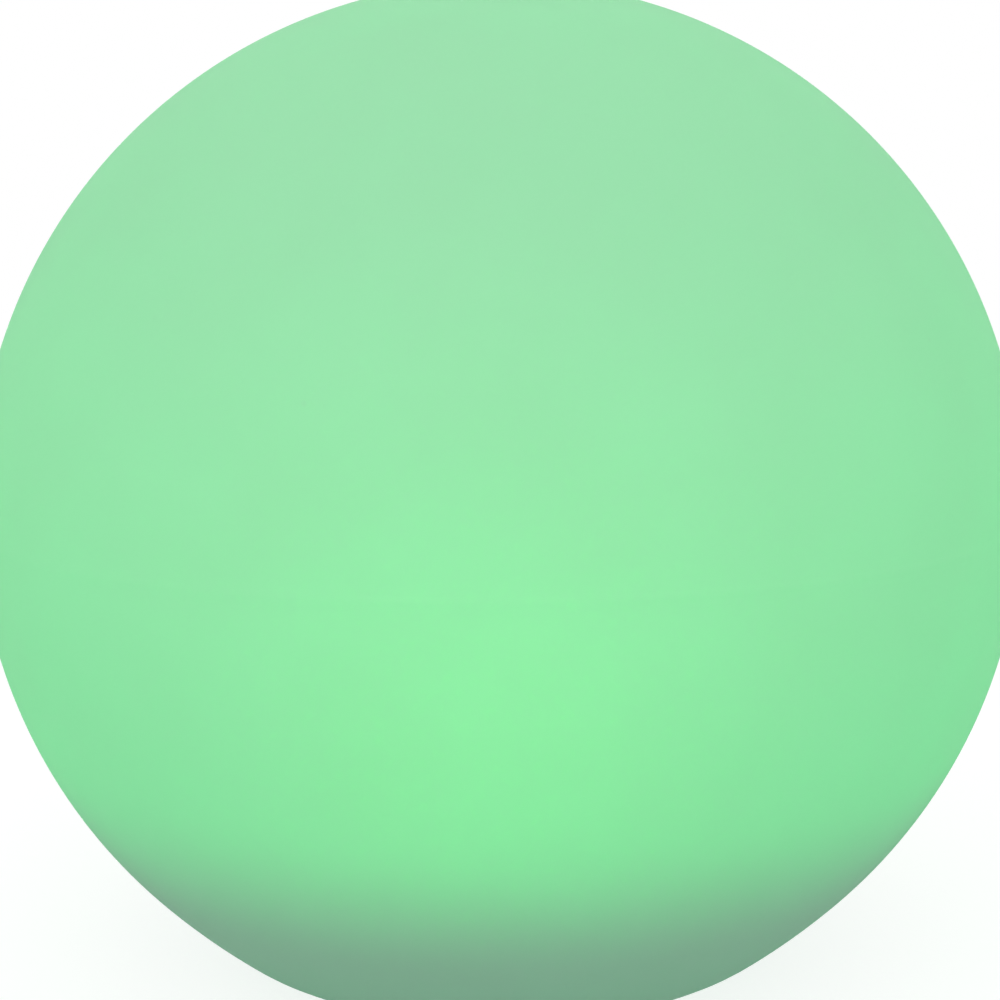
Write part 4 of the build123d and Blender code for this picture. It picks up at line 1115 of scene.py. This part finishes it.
def looked_at(tree: NodeTree) -> Node:
    """Tells whether a ray shows a surface or only carries its light.

    Args:
        tree: The node tree of a surface or of the world.

    Returns:
        A node that gives one for a ray of the camera, in a reflection or through a clear part, and
        none for plain light.
    """
    rays = add(tree, "ShaderNodeLightPath").outputs
    mirrored = {0: rays["Is Camera Ray"], 1: rays["Is Glossy Ray"]}
    either = add(tree, "ShaderNodeMath", mirrored, operation="MAXIMUM")
    return add(tree, "ShaderNodeMath", {0: either, 1: rays["Is Transmission Ray"]}, operation="MAXIMUM")


@dataclass
class Studio:
    """The photograph's camera, a white floor and soft plain light."""

    ball: Vector
    distance: float = 0.600
    elevation: float = 8.5
    half_frame: float = 0.2468  # half the picture's width at a distance of one
    sensor_mm: float = 36.0
    frame_px: float = 1000.0
    off_centre_px: Point = (-0.2, 3.8)  # how far right and down the ball stands in the picture
    roll: float = -0.46
    sky_colour: Colour = (1.0, 1.0, 1.0, 1.0)
    sky_light: float = 0.67
    under_way: Point = (-0.7, 0.9)  # where, from left to right, the light from below is
    under_light: Point = (0.25, 1.7)  # this weak and this strong
    floor_size: float = 30.0
    shadow_reach: float = 0.25
    shadow_gone: float = 0.625
    floor_colour: Colour = (0.3, 0.3, 0.3, 1.0)
    near_light: Point = (0.16, 0.80)  # what the floor gives: as plain light, and when looked at
    far_light: Point = (0.4, 1.0)
    foot_inner: float = 0.057
    lamp_way: tuple[float, float, float] = (-0.12, -1.0, 0.5)
    lamp_distance: float = 1.6
    lamp_size: float = 2.0
    lamp_watts: float = 9.0

    def camera(self) -> None:
        """Stands the camera in front of the ball and aims it a little above its middle."""
        lens = bpy.data.cameras.new("camera")
        lens.sensor_width = self.sensor_mm
        lens.lens = self.sensor_mm / 2 / self.half_frame
        eye = linked("camera", lens)
        up = math.radians(self.elevation)
        back = Vector((0.0, -math.cos(up), math.sin(up)))
        eye.location = self.ball + back * self.distance
        turn_to = (-back).to_track_quat("-Z", "Y").to_matrix()
        size_px = 2 * self.half_frame * self.distance / self.frame_px
        right, down = self.off_centre_px
        aim = self.ball + turn_to @ Vector((-right * size_px, down * size_px, 0.0))
        look = (aim - eye.location).to_track_quat("-Z", "Y").to_matrix()
        eye.rotation_mode = "QUATERNION"
        tilt = Matrix.Rotation(math.radians(self.roll), 3, "Z")
        eye.rotation_quaternion = (look @ tilt).to_quaternion()
        bpy.context.scene.camera = eye

    def world(self) -> None:
        """White to the camera and in reflections, and a plain even light on the object."""
        sky = bpy.data.worlds.new("studio")
        bpy.context.scene.world = sky
        sky.use_nodes = True
        tree = sky.node_tree
        # Below the floor the light comes more from one side, so that the underside's relief shows.
        from_where = add(tree, "ShaderNodeTexCoord").outputs["Generated"]
        way = add(tree, "ShaderNodeSeparateXYZ", {0: from_where}).outputs
        (left, right), (weak, strong) = self.under_way, self.under_light
        span = {"Value": way["X"], "From Min": left, "From Max": right, "To Min": weak, "To Max": strong}
        slant = add(tree, "ShaderNodeMapRange", span)
        under = add(tree, "ShaderNodeMath", {0: way["Z"], 1: 0.0}, operation="LESS_THAN")
        plain = add(tree, "ShaderNodeMix", {0: under, 2: self.sky_light, 3: slant}, data_type="FLOAT")
        level = add(tree, "ShaderNodeMapRange", {"Value": looked_at(tree), "To Min": plain})
        feed(tree.nodes["Background"], {"Color": self.sky_colour, "Strength": level})

    def floor(self) -> None:
        """A pale floor that keeps the object's shadow and can be looked through from below."""
        half = self.floor_size / 2
        corners = [(-half, -half, 0), (half, -half, 0), (half, half, 0), (-half, half, 0)]
        ground = mesh_object("floor", corners, [], [(0, 1, 2, 3)])
        paint = bpy.data.materials.new("pale_floor")
        paint.use_nodes = True
        tree = paint.node_tree
        tree.nodes.remove(tree.nodes["Principled BSDF"])
        seen = looked_at(tree)
        shine, glow = (
            add(tree, "ShaderNodeMapRange", {"Value": seen, "To Min": low, "To Max": high})
            for low, high in (self.near_light, self.far_light)
        )
        matt = add(tree, "ShaderNodeBsdfDiffuse", {"Color": self.floor_colour})
        pale = add(tree, "ShaderNodeEmission", {"Strength": shine})
        near = add(tree, "ShaderNodeAddShader", {0: pale, 1: matt})
        far = add(tree, "ShaderNodeEmission", {"Strength": glow})
        place = add(tree, "ShaderNodeTexCoord").outputs["Object"]
        away = add(tree, "ShaderNodeVectorMath", {0: place}, operation="LENGTH").outputs["Value"]
        span = {"Value": away, "From Min": self.shadow_reach, "From Max": self.shadow_gone}
        fade = add(tree, "ShaderNodeMapRange", span, interpolation_type="SMOOTHSTEP")
        both = add(tree, "ShaderNodeMixShader", {0: fade, 1: near, 2: far})
        # The floor is clear from below, and an opening inside the foot lets light up to the cover.
        below = add(tree, "ShaderNodeNewGeometry").outputs["Backfacing"]
        inside = add(tree, "ShaderNodeMath", {0: away, 1: self.foot_inner}, operation="LESS_THAN")
        gone = add(tree, "ShaderNodeMath", {0: below, 1: inside}, operation="MAXIMUM")
        clear = add(tree, "ShaderNodeBsdfTransparent")
        surface = add(tree, "ShaderNodeMixShader", {0: gone, 1: both, 2: clear})
        feed(tree.nodes["Material Output"], {"Surface": surface})
        ground.data.materials.append(paint)

    def lamp(self) -> None:
        """Hangs one large soft lamp in front of the ball and points it at the ball."""
        light = bpy.data.lights.new("front", "AREA")
        light.size = self.lamp_size
        light.energy = self.lamp_watts
        hung = linked("front", light)
        way = Vector(self.lamp_way)
        hung.location = self.ball + way.normalized() * self.lamp_distance
        hung.rotation_euler = (-way).to_track_quat("-Z", "Y").to_euler()

    def build(self) -> None:
        """Builds the camera, world, floor and lamp, and sets the plain view transform."""
        bpy.context.scene.view_settings.view_transform = "Standard"
        self.camera()
        self.world()
        self.floor()
        self.lamp()


# ---- building it all ----

# One finish for each of the record's slots
FINISHES = {
    # Polyethylene, melted from powder against a blasted mould: waxy and dull, so its edge has no sharp
    # reflection and the light from inside spreads through it.
    # Its glow is painted by height: dim as painted shade below the lamps' rim, and crown as painted
    # falloff at the top.
    "globe_polyethylene": GlowingWall(
        "rotomoulded_polyethylene", "#bfbdbc", 0.85, tone=0.02, patch_mm=45.0, grain=Grain.PEEL,
        grain_mm=1.6, transmission=0.35, specular=0.2, crown="#009551", lit="#00a056", dim="#006440",
        full_share=-0.39,
    ),
    # ABS, injection moulded in a spark-eroded tool: an even white whose fine pits break up highlights.
    "white_abs": Finish("moulded_white_abs", "#dfe1de", 0.48, ior=1.54),
    # The same plastic coloured through: a duller, darker grey that hides dust.
    "grey_abs": Finish("moulded_grey_abs", "#8b8f90", 0.5, ior=1.54),
    # EPDM rubber, compression moulded: nearly black, with a dry bloom and almost no shine.
    "black_rubber": Finish(
        "moulded_epdm_rubber", "#1b1c1e", 0.8, tone=0.12, patch_mm=5.0, grain_mm=0.8, ior=1.52
    ),
    # Silicone, moulded in a smooth tool: a soft satin with a faint milky depth.
    "grey_silicone": Finish("moulded_silicone", "#9a9fa1", 0.42, ior=1.41, grain=Grain.PEEL),
    # Stainless steel, turned: fine rings that stretch each highlight round the head.
    "stainless_steel": Finish(
        "turned_stainless_steel", "#c9cacb", 0.28, metallic=1.0, grain=Grain.TURNED
    ),
    # Glass-filled PBT, moulded hot: black with a slight sheen and a faint flow pattern.
    "black_moulding": Finish("moulded_black_pbt", "#1c1d1f", 0.4, tone=0.1, patch_mm=3.0, ior=1.57),
    # Polycarbonate, moulded against a polished tool: clear, with crisp reflections.
    "clear_polycarbonate": Finish(
        "polished_polycarbonate", "#f4f8f6", 0.08, ior=1.585, transmission=1.0, tone=0.0
    ),
    # Polycarbonate, moulded against a blasted tool: it turns the lamps into one even source.
    "frosted_polycarbonate": LitLens(
        "frosted_polycarbonate_lit", "#e9f3ec", 0.55, ior=1.585, light="#00ff10", strength=7.6
    ),
    # Glass-fibre board under green solder mask: glossy, with the copper tracks showing paler through it.
    "green_circuit_board": CircuitBoard("masked_glass_fibre_board", "#174d2c", 0.35),
    # Aluminium board under white solder mask: bright, with faint wide tracks.
    "white_circuit_board": CircuitBoard(
        "masked_aluminium_board", "#e8e9e4", 0.35, tracks="#d5d7cf", track_mm=2.2
    ),
    # Silicone over a lamp chip, cast: a small glossy dome with the chip's own light.
    "lamp_package": LitLens("cast_lamp_package", "#e6e3c8", 0.3, ior=1.41),
    # PVC sleeve, shrunk over a steel can: a tight glossy skin with soft ripples.
    "cell_sleeve": Finish(
        "shrunk_pvc_sleeve", "#2a6fae", 0.3, ior=1.54, grain=Grain.PEEL, grain_mm=4.0, depth_mm=0.05
    ),
    # Nickel strip, cold rolled: straight faint lines and a warm grey shine.
    "nickel_strip": Finish(
        "rolled_nickel", "#bdbab2", 0.3, metallic=1.0, grain=Grain.ROLLED, grain_mm=0.15
    ),
    # Nylon strap, woven: its crossing threads are drawn at 0.8 mm so that they show.
    "black_nylon": Finish(
        "woven_nylon", "#202123", 0.55, ior=1.53, grain=Grain.WOVEN, grain_mm=0.8, depth_mm=0.15
    ),
    # Nylon, moulded without pigment: the ivory colour and slight sheen of a wire plug.
    "ivory_nylon": Finish("moulded_natural_nylon", "#e5dfcb", 0.4, ior=1.53),
    # Ferrite, pressed and sintered: dark grey, dry and slightly speckled.
    "ferrite": Finish("sintered_ferrite", "#3a3c3f", 0.6, tone=0.15, patch_mm=1.2, ior=2.3),
    # Aluminium can, deep drawn: bright, with rings from the die.
    "capacitor_can": Finish("drawn_aluminium", "#b9bcc0", 0.3, metallic=1.0, grain=Grain.TURNED),
    # PVC insulation, extruded: a smooth coloured skin with a soft highlight along the wire.
    "red_insulation": Finish("extruded_red_pvc", "#b0241f", 0.4, ior=1.54, grain=Grain.PEEL),
    "black_insulation": Finish("extruded_black_pvc", "#1b1b1d", 0.4, ior=1.54, grain=Grain.PEEL),
    "grey_insulation": Finish("extruded_grey_pvc", "#8e9194", 0.4, ior=1.54, grain=Grain.PEEL),
    # Aluminium plate, brushed one way: long streaks that spread the light across them.
    "spreader_aluminium": Finish("brushed_aluminium", "#c4c6c8", 0.35, metallic=1.0, grain=Grain.ROLLED),
}
EXTRA_FINISHES = {
    # The wall's inner face, which set against hot air: smoother, and the first to catch the lamps' light;
    # it carries its own share of the glow painted by height, with painted shade below the lamps' rim.
    "polyethylene_inner_face": GlowingWall(
        "air_set_polyethylene", "#b9c4bd", 0.95, grain=Grain.SMOOTH, transmission=1.0,
        outer_face=False, strength=1.1,
    ),
    # Two-part ink, laid in a sunk sign or over a raised one: flat, and a little glossier than the
    # plastic round it.
    "sign_paint": Finish("laid_in_ink", "#4d5558", 0.35, grain=Grain.PEEL),
}


def corners(box: tuple[Vector, Vector]) -> list[list[float]]:
    """A box as plain lists of numbers."""
    return [list(map(float, corner)) for corner in box]


def main() -> None:
    """Builds and dresses every piece, and sets up the studio."""
    logging.basicConfig(level=logging.INFO, format="%(name)s: %(message)s")
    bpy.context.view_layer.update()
    shop = Workshop()
    for name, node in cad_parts.items():
        for index, old in enumerate(node.data.materials):
            node.data.materials[index] = shop.materials[old.name]
        log.info("%s: dressed", name)
    globe = Globe(shop)
    for assembly in (globe, FootRing(shop), BaseCover(shop), PowerButton(shop), PortCover(shop)):
        assembly.build()
    Studio(Vector((0.0, 0.0, globe.middle_z))).build()


if __name__ == "__main__":
    main()
